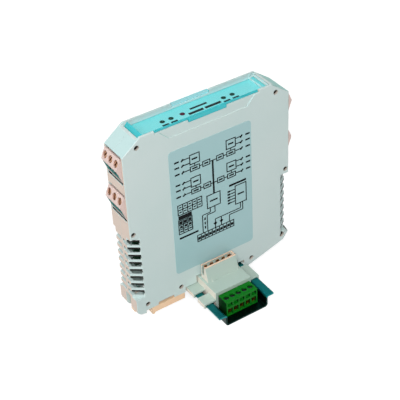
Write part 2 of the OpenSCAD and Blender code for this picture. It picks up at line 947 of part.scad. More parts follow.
module rail_latch() {
  color("#e6b79a")
    difference() {
      union() {
        box([-latch_shoulder, -latch_half_w, latch_low], [-latch_inner, latch_half_w, bar_top]);
        box([-latch_inner - 0.2, -finger_half, latch_low], [-finger_x, finger_half, bar_top]);
        box([-finger_rise_x, -finger_half, latch_low], [-finger_x, finger_half, latch_top]);
        box([-tongue_x, -tongue_half, latch_low], [-latch_shoulder + 0.2, tongue_half, bar_top]);
        box([-latch_shoulder, -latch_half_w, latch_low * 0.25],
            [-latch_shoulder + 1.6, latch_half_w, latch_low + 0.2]);
        box([-head_x[1], -neck_half, bar_top - 0.2],
            [-head_x[0], neck_half, base_z + floor_wall + latch_gap + 0.2]);
        box([-head_x[1], -head_half, base_z + floor_wall + latch_gap],
            [-head_x[0], head_half, base_z + floor_wall + latch_gap + head_t]);
      }
      // screwdriver slot in the outer end
      box([-tongue_x + 1, -tongue_half + 0.7, latch_low - cut],
          [-tongue_x + 2.6, tongue_half - 0.7, bar_top + cut]);
    }
}

// Bus connectors

// A contact: two blades in the chamber, a bar through the body, a pin in front and a leaf behind
module bus_contact(x, grow) {
  s = contact_side / 2 + grow;
  for (y = [chamber_y - blade_gap - contact_t, chamber_y + blade_gap])
    box([x - blade_half_w - grow, y - grow, contact_z - s],
        [x + blade_half_w + grow, y + contact_t + grow, block_top - 1]);
  box([x - s, -bus_half_t + 1, contact_z - s], [x + s, bus_half_t - 1, contact_z + s]);
  leaf_x = x + contact_side / 2 + 0.15;
  box([x - s, bus_half_t - 2 - grow, contact_z - s],
      [leaf_x + contact_t + grow, bus_half_t - 1 + grow, contact_z + s]);
  box([leaf_x - grow, bus_half_t - 2, contact_z - s],
      [leaf_x + contact_t + grow, bus_half_t + tongue_l - 0.6, contact_z + s]);
}

module bus_contacts() {
  color(brass)
    for (x = bus_x)
      bus_contact(x, 0);
}

// A tongue that fits the socket of the next connector
module bus_tongue(y0, y1) {
  box([-socket_half_w + tongue_gap, y0, socket_z + tongue_gap],
      [socket_half_w - tongue_gap, y1, socket_z + socket_h - tongue_gap]);
}

// One clip over a lip of the rail, on the right side
module wing(y0, y1) {
  box([bus_half_w - 0.2, y0, wing_z], [clip_x, y1, wing_top]);
  box([lip_x + clip_gap, y0, lip_under - 0.6], [clip_x, y1, wing_top]);
  box([lip_x - 0.3, y0, lip_under - 0.6], [clip_x, y1, lip_under - 0.15]);
}

module bus_body() {
  difference() {
    union() {
      box([-bus_half_w, -bus_half_t, bus_low], [bus_half_w, bus_half_t, bus_h]);
      along(-block_half_w, block_half_w)
        polygon([
          [block_back, bus_h - 0.2],
          [block_back, block_top],
          [block_front, block_top],
          [block_front - block_foot, bus_h],
          [block_front - block_foot, bus_h - 0.2]
        ]);
      // raised rib on the sloping front of the contact block
      along(-block_half_w + 2.4, -block_half_w + 3.8)
        polygon([
          [block_front + 0.4, block_top - 1.2],
          [block_front - block_foot - 0.6, bus_h - 0.2],
          [block_front - block_foot + 1, bus_h - 0.2]
        ]);
      bus_tongue(bus_half_t - 0.2, bus_half_t + tongue_l);
      wing(right_wing[0], right_wing[1]);
      mirror([1, 0, 0]) {
        wing(-bus_half_t, -notch_half);
        wing(notch_half, bus_half_t);
      }
    }
    box([-socket_half_w, -bus_half_t - cut, socket_z],
        [socket_half_w, -bus_half_t + socket_d, socket_z + socket_h]);
    // slot in the left end of the contact block
    box([-block_half_w - cut, chamber_y - end_slot_half, bus_h + block_h * 0.3],
        [bus_x[0], chamber_y + end_slot_half, block_top + cut]);
    box([bus_x[0] - chamber_half_w, chamber_y - chamber_half_d, block_top - trough_d],
        [bus_x[bus_poles - 1] + chamber_half_w, chamber_y + chamber_half_d, block_top + cut]);
    for (x = bus_x) {
      bus_contact(x, fit);
      box([x - chamber_half_w, chamber_y - chamber_half_d, bus_h + 1],
          [x + chamber_half_w, chamber_y + chamber_half_d, block_top + cut]);
      translate([x, bus_half_t + tongue_l, contact_z])
        cube([contact_side + 0.3, 2 * tongue_l - 1, contact_side + 0.3], center = true);
    }
  }
}

module module_bus_connector() {
  color("#dfe6e6")
    translate([0, bus_y[0], 0])
      bus_body();
}

module module_bus_contacts() {
  translate([0, bus_y[0], 0])
    bus_contacts();
}

module supply_bus_connector() {
  color("#e4e8e8")
    translate([0, bus_y[1], 0])
      bus_body();
}

module supply_bus_contacts() {
  translate([0, bus_y[1], 0])
    bus_contacts();
}

// Flat pins on the board that reach down into the contact block
module module_bus_pins() {
  color(brass)
    for (x = bus_x)
      box([x - bus_pin_w / 2, board_front - bus_pin_t, block_top - block_h * 0.7],
          [x + bus_pin_w / 2, board_front, board_z + board_up / 4]);
}

// Supply plug

module supply_plug() {
  color("#1d9a3c")
    difference() {
      union() {
        box([-supply_half_w, supply_front, supply_low], [supply_half_w, supply_back, supply_top]);
        bus_tongue(supply_back - 0.2, supply_back + tongue_l + 0.3);
      }
      for (x = bus_x) {
        translate([x, supply_screw_y, supply_top - screw_well])
          cylinder(d = supply_screw, h = screw_well + cut);
        // test opening above, wire opening below
        box([x - window_w / 2, supply_front - cut, window_mid + 1.5],
            [x + window_w / 2, supply_front + 1.6, supply_top - 1]);
        box([x - window_w / 2, supply_front - cut, window_low],
            [x + window_w / 2, clamp_back, window_mid]);
        translate([x, supply_back + tongue_l, contact_z])
          cube([contact_side + 0.6, 2 * tongue_l, contact_side + 0.6], center = true);
      }
    }
}

module supply_screws() {
  head = screw_well - 0.9;
  color(tin)
    for (x = bus_x)
      translate([x, supply_screw_y, supply_top - screw_well])
        difference() {
          cylinder(d = supply_screw - 2 * screw_gap + 0.1, h = head);
          translate([0, 0, head])
            cube([supply_screw, 0.5, 1.2], center = true);
        }
}

module supply_clamps() {
  wall = 0.5;
  half_w = window_w / 2 - fit;
  low = window_low + fit;
  high = window_mid - fit;
  color(brass)
    for (x = bus_x)
      difference() {
        box([x - half_w, clamp_front, low], [x + half_w, clamp_back, high]);
        box([x - half_w + wall, clamp_front - cut, low + wall],
            [x + half_w - wall, clamp_back + cut, high - wall]);
      }
}

rail_section();
housing_near_shell();
housing_far_shell();
side_label();
front_label();
front_cover();
status_lamps();
power_lamp();
circuit_board();
signal_transformers();
power_transformer();
optocouplers();
filter_capacitors();
amplifier_chips();
input_header_upper();
input_header_lower();
output_header_upper();
output_header_lower();
header_pins();
input_plug_upper();
input_plug_lower();
output_plug_upper();
output_plug_lower();
input_screws_upper();
input_screws_lower();
output_screws_upper();
output_screws_lower();
input_clamps_upper();
input_clamps_lower();
output_clamps_upper();
output_clamps_lower();
rail_latch();
module_bus_pins();
module_bus_connector();
module_bus_contacts();
supply_bus_connector();
supply_bus_contacts();
supply_plug();
supply_screws();
supply_clamps();
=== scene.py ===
# %% [markdown]
# A rail-mounted signal isolator stands on a short top-hat rail, with a bus connector and a
# green supply plug in front of it. The solids come from the CAD pack. This lesson gives
# them soft edges, print, screws and finishes, and then lights them as in a product picture.

import json
import math

import bmesh
import bpy
from mathutils import Matrix, Vector
from mathutils.geometry import tessellate_polygon


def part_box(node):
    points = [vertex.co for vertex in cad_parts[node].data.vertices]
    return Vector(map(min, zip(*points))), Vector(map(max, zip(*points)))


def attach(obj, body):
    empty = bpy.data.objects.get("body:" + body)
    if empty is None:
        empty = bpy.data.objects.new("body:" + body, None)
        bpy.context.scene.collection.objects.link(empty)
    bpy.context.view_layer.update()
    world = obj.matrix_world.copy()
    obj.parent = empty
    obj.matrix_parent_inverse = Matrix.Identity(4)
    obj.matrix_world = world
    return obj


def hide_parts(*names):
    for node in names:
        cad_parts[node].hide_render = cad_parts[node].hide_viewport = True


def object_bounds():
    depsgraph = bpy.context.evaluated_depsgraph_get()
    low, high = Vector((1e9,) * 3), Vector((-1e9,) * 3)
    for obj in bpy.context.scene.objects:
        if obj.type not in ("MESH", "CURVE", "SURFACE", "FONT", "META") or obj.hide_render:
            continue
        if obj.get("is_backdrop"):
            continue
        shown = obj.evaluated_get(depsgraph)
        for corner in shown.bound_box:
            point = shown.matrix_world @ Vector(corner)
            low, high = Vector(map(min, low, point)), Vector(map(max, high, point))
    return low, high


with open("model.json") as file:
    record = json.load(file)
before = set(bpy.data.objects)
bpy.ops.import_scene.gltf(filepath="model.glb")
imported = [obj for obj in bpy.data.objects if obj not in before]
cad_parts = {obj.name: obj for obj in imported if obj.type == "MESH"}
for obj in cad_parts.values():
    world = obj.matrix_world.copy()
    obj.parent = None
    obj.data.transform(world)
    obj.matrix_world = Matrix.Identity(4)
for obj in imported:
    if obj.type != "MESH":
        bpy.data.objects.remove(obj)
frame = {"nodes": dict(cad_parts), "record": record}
cad_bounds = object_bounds()
scene = bpy.context.scene
scene.view_settings.view_transform = "Standard"
MM = 0.001
body_of = {n: b for b, ns in frame["record"]["behaviour"]["bodies"].items() for n in ns}
slot_of = {s["node"]: s["material_slot"] for s in frame["record"]["subparts"]}

# %% [markdown]
# The camera stands where the photographer stood: to the left, in front and above. Its lens
# comes from the focal length in pixels of a square picture. The axes are built by hand, so
# that the slight roll of the picture can be added before they go into a matrix.

# %% Camera
PICTURE_PX = 400
FOCAL_PX = 1106
SENSOR_MM = 36
AZIMUTH = math.radians(-31.55)
ELEVATION = math.radians(37.51)
ROLL = math.radians(-3.08)
AIM = Vector((-1.9, 0, 54.9)) * MM
DISTANCE = 579.4 * MM

back = Vector((math.sin(AZIMUTH) * math.cos(ELEVATION),
               -math.cos(AZIMUTH) * math.cos(ELEVATION),
               math.sin(ELEVATION)))
level = Vector((0, 0, 1)).cross(back).normalized()
upright = back.cross(level)
across = math.cos(ROLL) * level + math.sin(ROLL) * upright
upward = math.cos(ROLL) * upright - math.sin(ROLL) * level
camera_data = bpy.data.cameras.new("camera")
camera_data.sensor_fit = "HORIZONTAL"
camera_data.sensor_width = SENSOR_MM
camera_data.lens = FOCAL_PX * SENSOR_MM / PICTURE_PX
camera_data.clip_start = 0.01
camera = bpy.data.objects.new("camera", camera_data)
camera.matrix_world = Matrix.Translation(AIM + back * DISTANCE) @ Matrix(
    (across, upward, back)).transposed().to_4x4()
scene.collection.objects.link(camera)
scene.camera = camera
print("lens", round(camera_data.lens, 2), "mm")

# %% [markdown]
# Every material below is a small node tree. One function adds a node, sets its values and
# makes its links. Another turns a colour as an artist writes it, in sRGB hex, into the
# linear numbers that the shader wants. A pattern's scale is worked out from a real size.

# %% Small helpers for node trees
def linear(hex_colour):
    channels = [int(hex_colour[i:i + 2], 16) / 255 for i in (1, 3, 5)]
    return tuple(c / 12.92 if c <= 0.04045 else ((c + 0.055) / 1.055) ** 2.4
                 for c in channels) + (1.0,)


def add_node(tree, kind, inputs=None, **settings):
    node = tree.nodes.new(kind)
    for name, value in settings.items():
        setattr(node, name, value)
    for name, value in (inputs or {}).items():
        if isinstance(value, bpy.types.NodeSocket):
            tree.links.new(value, node.inputs[name])
        else:
            node.inputs[name].default_value = value
    return node


def per_mm(size):
    return 1 / (size * MM)


def new_tree(name):
    """A material, its tree and the place of each point on its piece."""
    material = bpy.data.materials.new(name)
    material.use_nodes = True
    tree = material.node_tree
    tree.nodes.clear()
    return material, tree, add_node(tree, "ShaderNodeTexCoord").outputs["Object"]


print("half grey is", round(linear("#808080")[0], 3), "to the shader")

# %% [markdown]
# The studio is a white sweep with soft lamps. Its world gives a little even light, and shows
# white to the camera and to shiny surfaces. A picture could do that too, but Light Path needs
# no file: it tells which rays come from the camera or from a reflection.

# %% World
AMBIENT = 0.20
WHITE = (1, 1, 1, 1)


def seen_directly(tree):
    path = add_node(tree, "ShaderNodeLightPath")
    shiny = add_node(tree, "ShaderNodeMath", {0: path.outputs["Is Glossy Ray"],
                                              1: path.outputs["Is Transmission Ray"]},
                     operation="MAXIMUM")
    return add_node(tree, "ShaderNodeMath", {0: path.outputs["Is Camera Ray"],
                                             1: shiny.outputs[0]}, operation="MAXIMUM").outputs[0]


world = bpy.data.worlds.new("studio")
scene.world = world
world.use_nodes = True
tree = world.node_tree
tree.nodes.clear()
even = add_node(tree, "ShaderNodeBackground", {"Color": WHITE, "Strength": AMBIENT})
white = add_node(tree, "ShaderNodeBackground", {"Color": WHITE, "Strength": 1.0})
chosen = add_node(tree, "ShaderNodeMixShader",
                  {0: seen_directly(tree), 1: even.outputs[0], 2: white.outputs[0]})
add_node(tree, "ShaderNodeOutputWorld", {"Surface": chosen.outputs[0]})
print("even light of strength", AMBIENT)

# %% [markdown]
# The floor is matt paper. It adds some white for the camera only, so that it keeps the shadow
# under the rail without more light on the part. Far from the lamps it adds more, so that its
# edge runs into the white behind it.

# %% Floor
FLOOR_SIZE = 3.0
FLOOR_DROP = 0.05 * MM
FLOOR_LIFT = 0.72
FAR_LIFT = 0.93
NEAR_RADIUS = 0.25
FAR_RADIUS = 1.1
FIBRE_MM = 40
PAPER_TONES = (0.44, 0.46)

paper, tree, place = new_tree("matt_paper_sweep")
fibre = add_node(tree, "ShaderNodeTexNoise", {"Vector": place, "Scale": per_mm(FIBRE_MM)})
tone = add_node(tree, "ShaderNodeMapRange",
                {"Value": fibre.outputs[0], "To Min": PAPER_TONES[0], "To Max": PAPER_TONES[1]})
matt = add_node(tree, "ShaderNodeBsdfDiffuse", {"Color": tone.outputs[0]})
away = add_node(tree, "ShaderNodeVectorMath", {0: place}, operation="LENGTH")
extra = add_node(tree, "ShaderNodeMapRange",
                 {"Value": away.outputs["Value"], "From Min": NEAR_RADIUS, "From Max": FAR_RADIUS,
                  "To Min": FLOOR_LIFT, "To Max": FAR_LIFT})
lift = add_node(tree, "ShaderNodeMath", {0: seen_directly(tree), 1: extra.outputs[0]},
                operation="MULTIPLY")
glow = add_node(tree, "ShaderNodeEmission", {"Color": WHITE, "Strength": lift.outputs[0]})
both = add_node(tree, "ShaderNodeAddShader", {0: matt.outputs[0], 1: glow.outputs[0]})
add_node(tree, "ShaderNodeOutputMaterial", {"Surface": both.outputs[0]})

sheet = bpy.data.meshes.new("floor")
corner = FLOOR_SIZE / 2
sheet.from_pydata([(-corner, -corner, 0), (corner, -corner, 0), (corner, corner, 0),
                   (-corner, corner, 0)], [], [(0, 1, 2, 3)])
sheet.materials.append(paper)
floor = bpy.data.objects.new("floor", sheet)
floor.location.z = -FLOOR_DROP
scene.collection.objects.link(floor)
floor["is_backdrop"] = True
print("floor", FLOOR_SIZE, "m wide")

# %% [markdown]
# Large square lamps give soft shadows. The key lamp lights the label side and the top, one
# from the left lights the terminals, a weak one hangs above, and one lights the far side.

# %% Lamps
# place from the aim and size of each lamp in metres, and its watts
LAMPS = {"key": ((-0.50, -0.80, 0.80), 0.50, 12.0), "left": ((-1.00, 0.05, 0.50), 0.40, 3.6),
         "top": ((0.10, 0.10, 1.20), 0.60, 1.1), "back": ((0.10, 1.00, 0.25), 0.40, 3.0)}
for name, (place, size, watts) in LAMPS.items():
    lamp = bpy.data.lights.new(name, "AREA")
    lamp.shape = "SQUARE"
    lamp.size = size
    lamp.energy = watts
    holder = bpy.data.objects.new(name, lamp)
    holder.location = Vector(place) + AIM
    holder.rotation_euler = Vector(place).to_track_quat("Z", "Y").to_euler()
    scene.collection.objects.link(holder)
print(len(LAMPS), "lamps")

# %% [markdown]
# Some mouldings take a second colour that is painted light and shade: warm painted light on the
# narrow ends of the housing and the bus connector, painted shade on those of the green plug,
# painted shade and a painted reflection of the cover on the slopes beside it, and painted shade
# deep in a hollow. It could be painted on the mesh, but a node can measure how a face is turned
# or where a point lies, and then the colour fits every piece and fades softly. The vents repeat
# at an even pitch, so Wrap brings every slot to the height of the lowest one.

# %% Where a second colour goes
SLOT_HEIGHT = 17.8 * MM
SLOT_PITCH = 4.843 * MM
# what is measured, and the values at which the second colour starts and is full
# painted shade and reflection on the slopes, painted light and shade on the ends, painted shade in vents
# and holes
TURNED_BACK = ("facing", 0.45, 0.6)
TURNED_FRONT = ("facing", -0.45, -0.6)
NARROW_END = ("steep", 0.85, 0.97)
UNDER_LAMELLA = ("level", SLOT_HEIGHT - 0.15 * MM, SLOT_HEIGHT + 0.25 * MM)
DEEP_IN_HOLE = ("depth", -7.9 * MM, -7.1 * MM)


def measure(tree, kind):
    """Turn to +X, turn to either end, height in a vent, or depth behind the label side."""
    coordinates = add_node(tree, "ShaderNodeTexCoord").outputs
    read = coordinates["Normal" if kind in ("facing", "steep") else "Object"]
    axes = add_node(tree, "ShaderNodeSeparateXYZ", {0: read}).outputs
    if kind == "steep":
        return add_node(tree, "ShaderNodeMath", {0: axes["X"]}, operation="ABSOLUTE").outputs[0]
    if kind == "level":
        return add_node(tree, "ShaderNodeMath",
                        {0: axes["Z"], 1: SLOT_HEIGHT + SLOT_PITCH / 2, 2: SLOT_HEIGHT - SLOT_PITCH / 2},
                        operation="WRAP").outputs[0]
    return axes["X" if kind == "facing" else "Y"]


print("a vent every", round(SLOT_PITCH / MM, 2), "mm")

# %% [markdown]
# Most of the object is moulded plastic. A mould's texture is a fine grain that softens the
# shine, and large mouldings are never quite one colour. So each plastic has a broad, faint
# drift of tone and a fine grain that moves roughness and bump together. The grain of a real
# mould is near 0.1 mm; it is drawn coarser here, because finer grain would not show.

# %% A moulded plastic
ROUGH_SPREAD = 0.07
finish = {}


def moulded(slot, name, colour, drift, rough, grain_mm, grain_depth=0.02, drift_mm=25, looks=(),
            shine_level=0.5):
    material, tree, place = new_tree(name)
    cloud = add_node(tree, "ShaderNodeTexNoise",
                     {"Vector": place, "Scale": per_mm(drift_mm), "Detail": 3.0})
    tint = add_node(tree, "ShaderNodeMix",
                    {"Factor": cloud.outputs[0], "A": linear(colour), "B": linear(drift)},
                    data_type="RGBA")
    # each look mixes in painted light and shade, placed by how a face is turned or where it lies
    for (kind, least, most), look in looks:
        share = add_node(tree, "ShaderNodeMapRange",
                         {"Value": measure(tree, kind), "From Min": least, "From Max": most})
        tint = add_node(tree, "ShaderNodeMix",
                        {"Factor": share.outputs[0], "A": tint.outputs[2], "B": linear(look)},
                        data_type="RGBA")
    grain = add_node(tree, "ShaderNodeTexNoise",
                     {"Vector": place, "Scale": per_mm(grain_mm), "Detail": 2.0})
    shine = add_node(tree, "ShaderNodeMapRange",
                     {"Value": grain.outputs[0], "To Min": rough - ROUGH_SPREAD,
                      "To Max": rough + ROUGH_SPREAD})
    relief = add_node(tree, "ShaderNodeBump",
                      {"Height": grain.outputs[0], "Distance": grain_depth * MM, "Strength": 0.5})
    surface = add_node(tree, "ShaderNodeBsdfPrincipled",
                       {"Base Color": tint.outputs[2], "Roughness": shine.outputs[0],
                        "Normal": relief.outputs[0], "IOR": 1.5,
                        "Specular IOR Level": shine_level})
    add_node(tree, "ShaderNodeOutputMaterial", {"Surface": surface.outputs[0]})
    finish[slot] = material


# %% [markdown]
# The housing, the plugs and the connectors are each moulded in their own plastic. Polyamide
# stands the heat of a terminal, and acetal slides well, so the latch is made of it. Their
# colours are written here as the eye sees them under plain light; the second colours and the
# shaded finishes among them are painted light and shade.

# %% Plastics of the outside
# polyamide housing, spark-eroded mould: a cool light grey with a soft, wide highlight; the
# narrow ends round the terminals get warm painted light in beige, the slope behind the hinge
# gets painted shade tinted by a painted reflection of the cover's turquoise, and the slope at
# the other end a little painted shade
moulded("housing_plastic", "light_grey_polyamide", "#bdd5d2", "#d7e1df", 0.50, 0.5, drift_mm=60,
        looks=((TURNED_BACK, "#9fdcd4"), (TURNED_FRONT, "#b8d4d3"), (NARROW_END, "#d8c6b8")))
# polybutylene bus connector, smooth mould: nearly white, a little glossier than the housing;
# its faces turned to either end get warm painted light in cream
moulded("connector_plastic", "white_polyester_moulding", "#aabfb6", "#b5c4b9", 0.40, 0.6,
        looks=((NARROW_END, "#e6dccf"),))
# the same moulding with a warm painted highlight on its top rim, round the bus contacts
moulded("connector_rim", "polyester_moulding_painted_highlight", "#eec4a6", "#f0d0b6", 0.40, 0.6)
# polyamide terminal plug: a warmer grey than the housing round it
moulded("plug_plastic", "warm_grey_polyamide", "#dcc2bb", "#d9c4bc", 0.42, 0.5)
# walls of the peg holes: the housing's polyamide, darker the deeper they go
moulded("hole_shade", "shaded_housing_polyamide", "#c8bfb4", "#d0c8be", 0.6, 0.5,
        looks=((DEEP_IN_HOLE, "#2c2420"),), shine_level=0.1)
# pockets under the plugs, where a tool levers them out: as dark as the vents
moulded("pocket_shade", "hidden_housing_polyamide", "#1b1614", "#241e1b", 0.6, 0.5, shine_level=0.1)
# depth of the vents: the housing's polyamide, with hardly any light under each lamella
moulded("vent_shade", "deep_housing_polyamide", "#b8d2cf", "#d2dedc", 0.6, 0.5,
        looks=((UNDER_LAMELLA, "#1b1816"),), shine_level=0.1)
# walls of the plugs' wire openings: polyamide in the light of the plated clamps
moulded("wire_opening", "shaded_polyamide", "#4f8a86", "#5f9a94", 0.45, 0.5)
# polyamide header, deep in the housing and hardly lit
moulded("header_plastic", "grey_polyamide", "#8fa3a2", "#87999a", 0.45, 0.5)
# acetal latch: peach, waxy and smooth
moulded("latch_plastic", "peach_acetal", "#fbdcb8", "#f2c296", 0.32, 0.6)
# polyamide supply plug: saturated green and semi-gloss; faces turned to either end are darkened
# as painted shade
moulded("supply_green", "green_polyamide", "#04660e", "#067218", 0.42, 0.5,
        looks=((NARROW_END, "#06300f"),), shine_level=0.15)
print(len(finish), "plastics outside")

# %% [markdown]
# The parts on the board hardly show, but they are seen through the vents and when a plug is
# drawn, so they get the finish of the real ones. Lamps, films and ink follow: thin, smooth
# layers with hardly any grain.

# %% Board parts, films and ink
# white housings of the optocouplers
moulded("white_plastic", "white_epoxy", "#e8e6df", "#e0ded6", 0.5, 0.3)
# epoxy of the integrated circuits, matt and nearly black
moulded("chip_plastic", "black_epoxy", "#1c1d1f", "#242526", 0.55, 0.3)
# ferrite cores: dark grey, dull and slightly grainy
moulded("ferrite", "ferrite", "#33312f", "#3f3b37", 0.6, 0.25, 0.04)
# shrink sleeve of the capacitors: dark blue and shiny
moulded("capacitor_sleeve", "shrink_sleeve", "#1c2a4a", "#22325a", 0.25, 0.8)
# epoxy-glass laminate under green solder mask
moulded("board_laminate", "solder_masked_laminate", "#123a25", "#184a2e", 0.3, 0.9)
# clear tinted epoxy of the lamps, unlit: nearly black with a hint of colour
moulded("green_lamp", "green_lamp_epoxy", "#02261c", "#053a2b", 0.4, 0.8, 0.005, shine_level=0.08)
moulded("red_lamp", "red_lamp_epoxy", "#3c0a22", "#4c0d2c", 0.4, 0.8, 0.005, shine_level=0.08)
# printed polyester films: even colour under a thin satin varnish
moulded("front_strip", "turquoise_polyester_film", "#72dfe4", "#80e4e6", 0.3, 0.7, 0.004)
moulded("label_film", "pale_blue_polyester_film", "#a9cacd", "#9dc5c6", 0.34, 0.7, 0.004)
# printing ink: nearly black and dull
moulded("ink", "dark_printing_ink", "#05090b", "#0a1013", 0.6, 0.6, 0.003, shine_level=0.1)
print(len(finish), "plastics, films and ink")

# %% [markdown]
# Metals need no IOR: their colour is the colour of their reflection. Each gets fine streaks
# or spots that change roughness, since a metal's finish shows in how sharp its shine is.

# %% Metals
SPOT_SPREAD = 0.1
SPOT_DEPTH = 0.01 * MM


def metal(slot, name, colour, drift, rough, spot_mm, stretch=(1, 1, 1)):
    material, tree, place = new_tree(name)
    drawn = add_node(tree, "ShaderNodeMapping", {"Vector": place, "Scale": stretch})
    spots = add_node(tree, "ShaderNodeTexNoise",
                     {"Vector": drawn.outputs[0], "Scale": per_mm(spot_mm), "Detail": 4.0})
    tint = add_node(tree, "ShaderNodeMix",
                    {"Factor": spots.outputs[0], "A": linear(colour), "B": linear(drift)},
                    data_type="RGBA")
    shine = add_node(tree, "ShaderNodeMapRange",
                     {"Value": spots.outputs[0], "To Min": rough - SPOT_SPREAD,
                      "To Max": rough + SPOT_SPREAD})
    relief = add_node(tree, "ShaderNodeBump",
                      {"Height": spots.outputs[0], "Distance": SPOT_DEPTH, "Strength": 0.4})
    surface = add_node(tree, "ShaderNodeBsdfPrincipled",
                       {"Base Color": tint.outputs[2], "Metallic": 1.0,
                        "Roughness": shine.outputs[0], "Normal": relief.outputs[0]})
    add_node(tree, "ShaderNodeOutputMaterial", {"Surface": surface.outputs[0]})
    finish[slot] = material


# rolled steel rail, blue-green passivated zinc: streaks run along the rail
metal("rail_steel", "passivated_steel", "#167577", "#208688", 0.34, 0.8, (1, 0.08, 1))
# the same steel inside the channel, where the sheet mirrors its own shade
metal("rail_channel", "shaded_passivated_steel", "#06231f", "#0a302a", 0.34, 0.8, (1, 0.08, 1))
# pressed brass contacts and pins of the bus
metal("contact_brass", "pressed_brass", "#cf8a52", "#bd7542", 0.35, 0.6)
# brighter brass of the clamps in the supply plug
metal("clamp_brass", "bright_brass", "#c99a3c", "#ad822e", 0.32, 0.5)
# bent steel clamps behind the wire openings, blue-passivated zinc
metal("clamp_steel", "blue_passivated_zinc", "#5b9492", "#6ba3a0", 0.4, 0.5)
# terminal screws, dull yellow passivation
metal("screw_brass", "plated_terminal_screw", "#b48c70", "#a27a5e", 0.32, 0.4)
# zinc-plated screws of the supply plug
metal("screw_steel", "zinc_plated_steel", "#3f4a44", "#4c5750", 0.4, 0.4)
# tinned header pins
metal("tinned_pin", "tinned_pin", "#b9bcc0", "#c6c9cc", 0.3, 0.5)
print("metals done,", len(finish), "finishes")

# %% [markdown]
# The front cover is clear polycarbonate with a turquoise tint. Looking down on its thin top,
# the eye sees the strip below; looking at its walls, edge on, it sees the tint gathered over
# a long way through the plastic. So the top is a nearly clear sheet and the walls are a
# strong turquoise that lets less through, each with a plain Alpha and a shine of its own.

# %% Clear cover
HAZE_MM = 6


def tinted_sheet(slot, name, colour, alpha, smoothest, dullest):
    material, tree, place = new_tree(name)
    haze = add_node(tree, "ShaderNodeTexNoise", {"Vector": place, "Scale": per_mm(HAZE_MM)})
    shine = add_node(tree, "ShaderNodeMapRange",
                     {"Value": haze.outputs[0], "To Min": smoothest, "To Max": dullest})
    surface = add_node(tree, "ShaderNodeBsdfPrincipled",
                       {"Base Color": linear(colour), "Roughness": shine.outputs[0],
                        "Alpha": alpha, "IOR": 1.58})
    add_node(tree, "ShaderNodeOutputMaterial", {"Surface": surface.outputs[0]})
    finish[slot] = material


tinted_sheet("clear_cover", "clear_polycarbonate", "#8fe6e6", 0.012, 0.03, 0.10)
tinted_sheet("cover_wall", "turquoise_polycarbonate_edge", "#27c8d0", 0.72, 0.05, 0.14)
tinted_sheet("cover_rim", "pale_polycarbonate_edge", "#d3e6e6", 0.80, 0.05, 0.14)
print("cover done,", len(finish), "finishes")

# %% [markdown]
# Every solid from the CAD pack has a material slot in its record, so one loop dresses them all.
# Only the clamps of the supply plug differ from their slot: they are of a brighter brass.

# %% Finishes on the CAD solids
for name, node in frame["nodes"].items():
    node.data.materials.clear()
    node.data.materials.append(finish["clamp_brass" if name == "supply_clamps" else slot_of[name]])
print("every CAD node has its finish")

# %% [markdown]
# No moulded edge is razor sharp, and it is the thin highlight along an edge that tells the eye
# so. The CAD solids keep sharp edges, so copies with eased edges stand for the mouldings.
# Blender's Bevel stumbles over the long thin triangles of a CAD mesh. Here each flat face is
# drawn in by a small width instead, its outline is filled again, and narrow strips and corner
# patches close the gaps. First comes the place of a corner that lies its width inside both of
# the sharp edges beside it.

# %% Eased edges: how far a corner moves
PARALLEL = 0.999
LONGEST_MOVE = 3


def inward(loop_from, loop_to, face):
    return face.normal.cross(loop_to - loop_from).normalized()


def drawn_in(first, last, width):
    """How far a corner moves so that it lies its width inside both of its sharp edges."""
    m1 = inward(first.vert.co, first.link_loop_next.vert.co, first.face)
    m2 = inward(last.link_loop_prev.vert.co, last.vert.co, last.face)
    w1, w2 = width(first.edge), width(last.link_loop_prev.edge)
    c = m1.dot(m2)
    if abs(c) > PARALLEL:
        return m1 * max(w1, w2) if c > 0 else Vector()
    move = (m1 * (w1 - c * w2) + m2 * (w2 - c * w1)) / (1 - c * c)
    longest = LONGEST_MOVE * max(w1, w2)
    return move if move.length <= longest else move * (longest / move.length)


print("a corner moves by", LONGEST_MOVE, "widths at most")

# %% [markdown]
# Round each CAD corner the sharp edges part the faces into fans. Every fan gets a corner of its
# own, which keeps the normal of the faces it came from, so flats stay flat and only the strips
# between them turn the light. Where three or more fans meet, a small patch closes the corner.

# %% Eased edges: new corners
def corners_of(bm, sharp, width):
    """A new point and normal for each corner between sharp edges, and the patches between."""
    points, normals, corner_of, patches = [], [], {}, []
    for vert in bm.verts:
        waiting = set(vert.link_loops)
        while waiting:
            ring, loop = [], next(l for l in vert.link_loops if l in waiting)
            while loop in waiting:
                waiting.discard(loop)
                ring.append(loop)
                loop = loop.link_loop_prev.link_loop_radial_next
            starts = [i for i, l in enumerate(ring) if l.edge in sharp]
            fans = [ring]
            if starts:
                fans = []
                for l in ring[starts[0]:] + ring[:starts[0]]:
                    if l.edge in sharp:
                        fans.append([])
                    fans[-1].append(l)
            for fan in fans:
                move = drawn_in(fan[0], fan[-1], width) if starts else Vector()
                for l in fan:
                    corner_of[l] = len(points)
                points.append(vert.co + move)
                normals.append(sum((l.face.normal * l.calc_angle() for l in fan), Vector()))
            if len(fans) > 2:
                patches.append(([corner_of[f[0]] for f in fans],
                                sum((l.face.normal for l in ring), Vector())))
    return points, normals, corner_of, patches


# %% [markdown]
# A flat face of the solid comes as many triangles. They are gathered again by walking from one
# triangle to the next across the level edges between them. Then the outline of the whole face
# with its holes is filled on the new corners.

# %% Eased edges: flat faces
def joined_faces(bm, edges):
    """Groups of faces that can be reached from each other across these edges."""
    waiting, groups = set(bm.faces), []
    for face in bm.faces:
        if face not in waiting:
            continue
        waiting.discard(face)
        group, open_faces = [], [face]
        while open_faces:
            f = open_faces.pop()
            group.append(f)
            for edge in f.edges:
                for g in edge.link_faces:
                    if g in waiting and edge in edges:
                        waiting.discard(g)
                        open_faces.append(g)
        groups.append(group)
    return groups


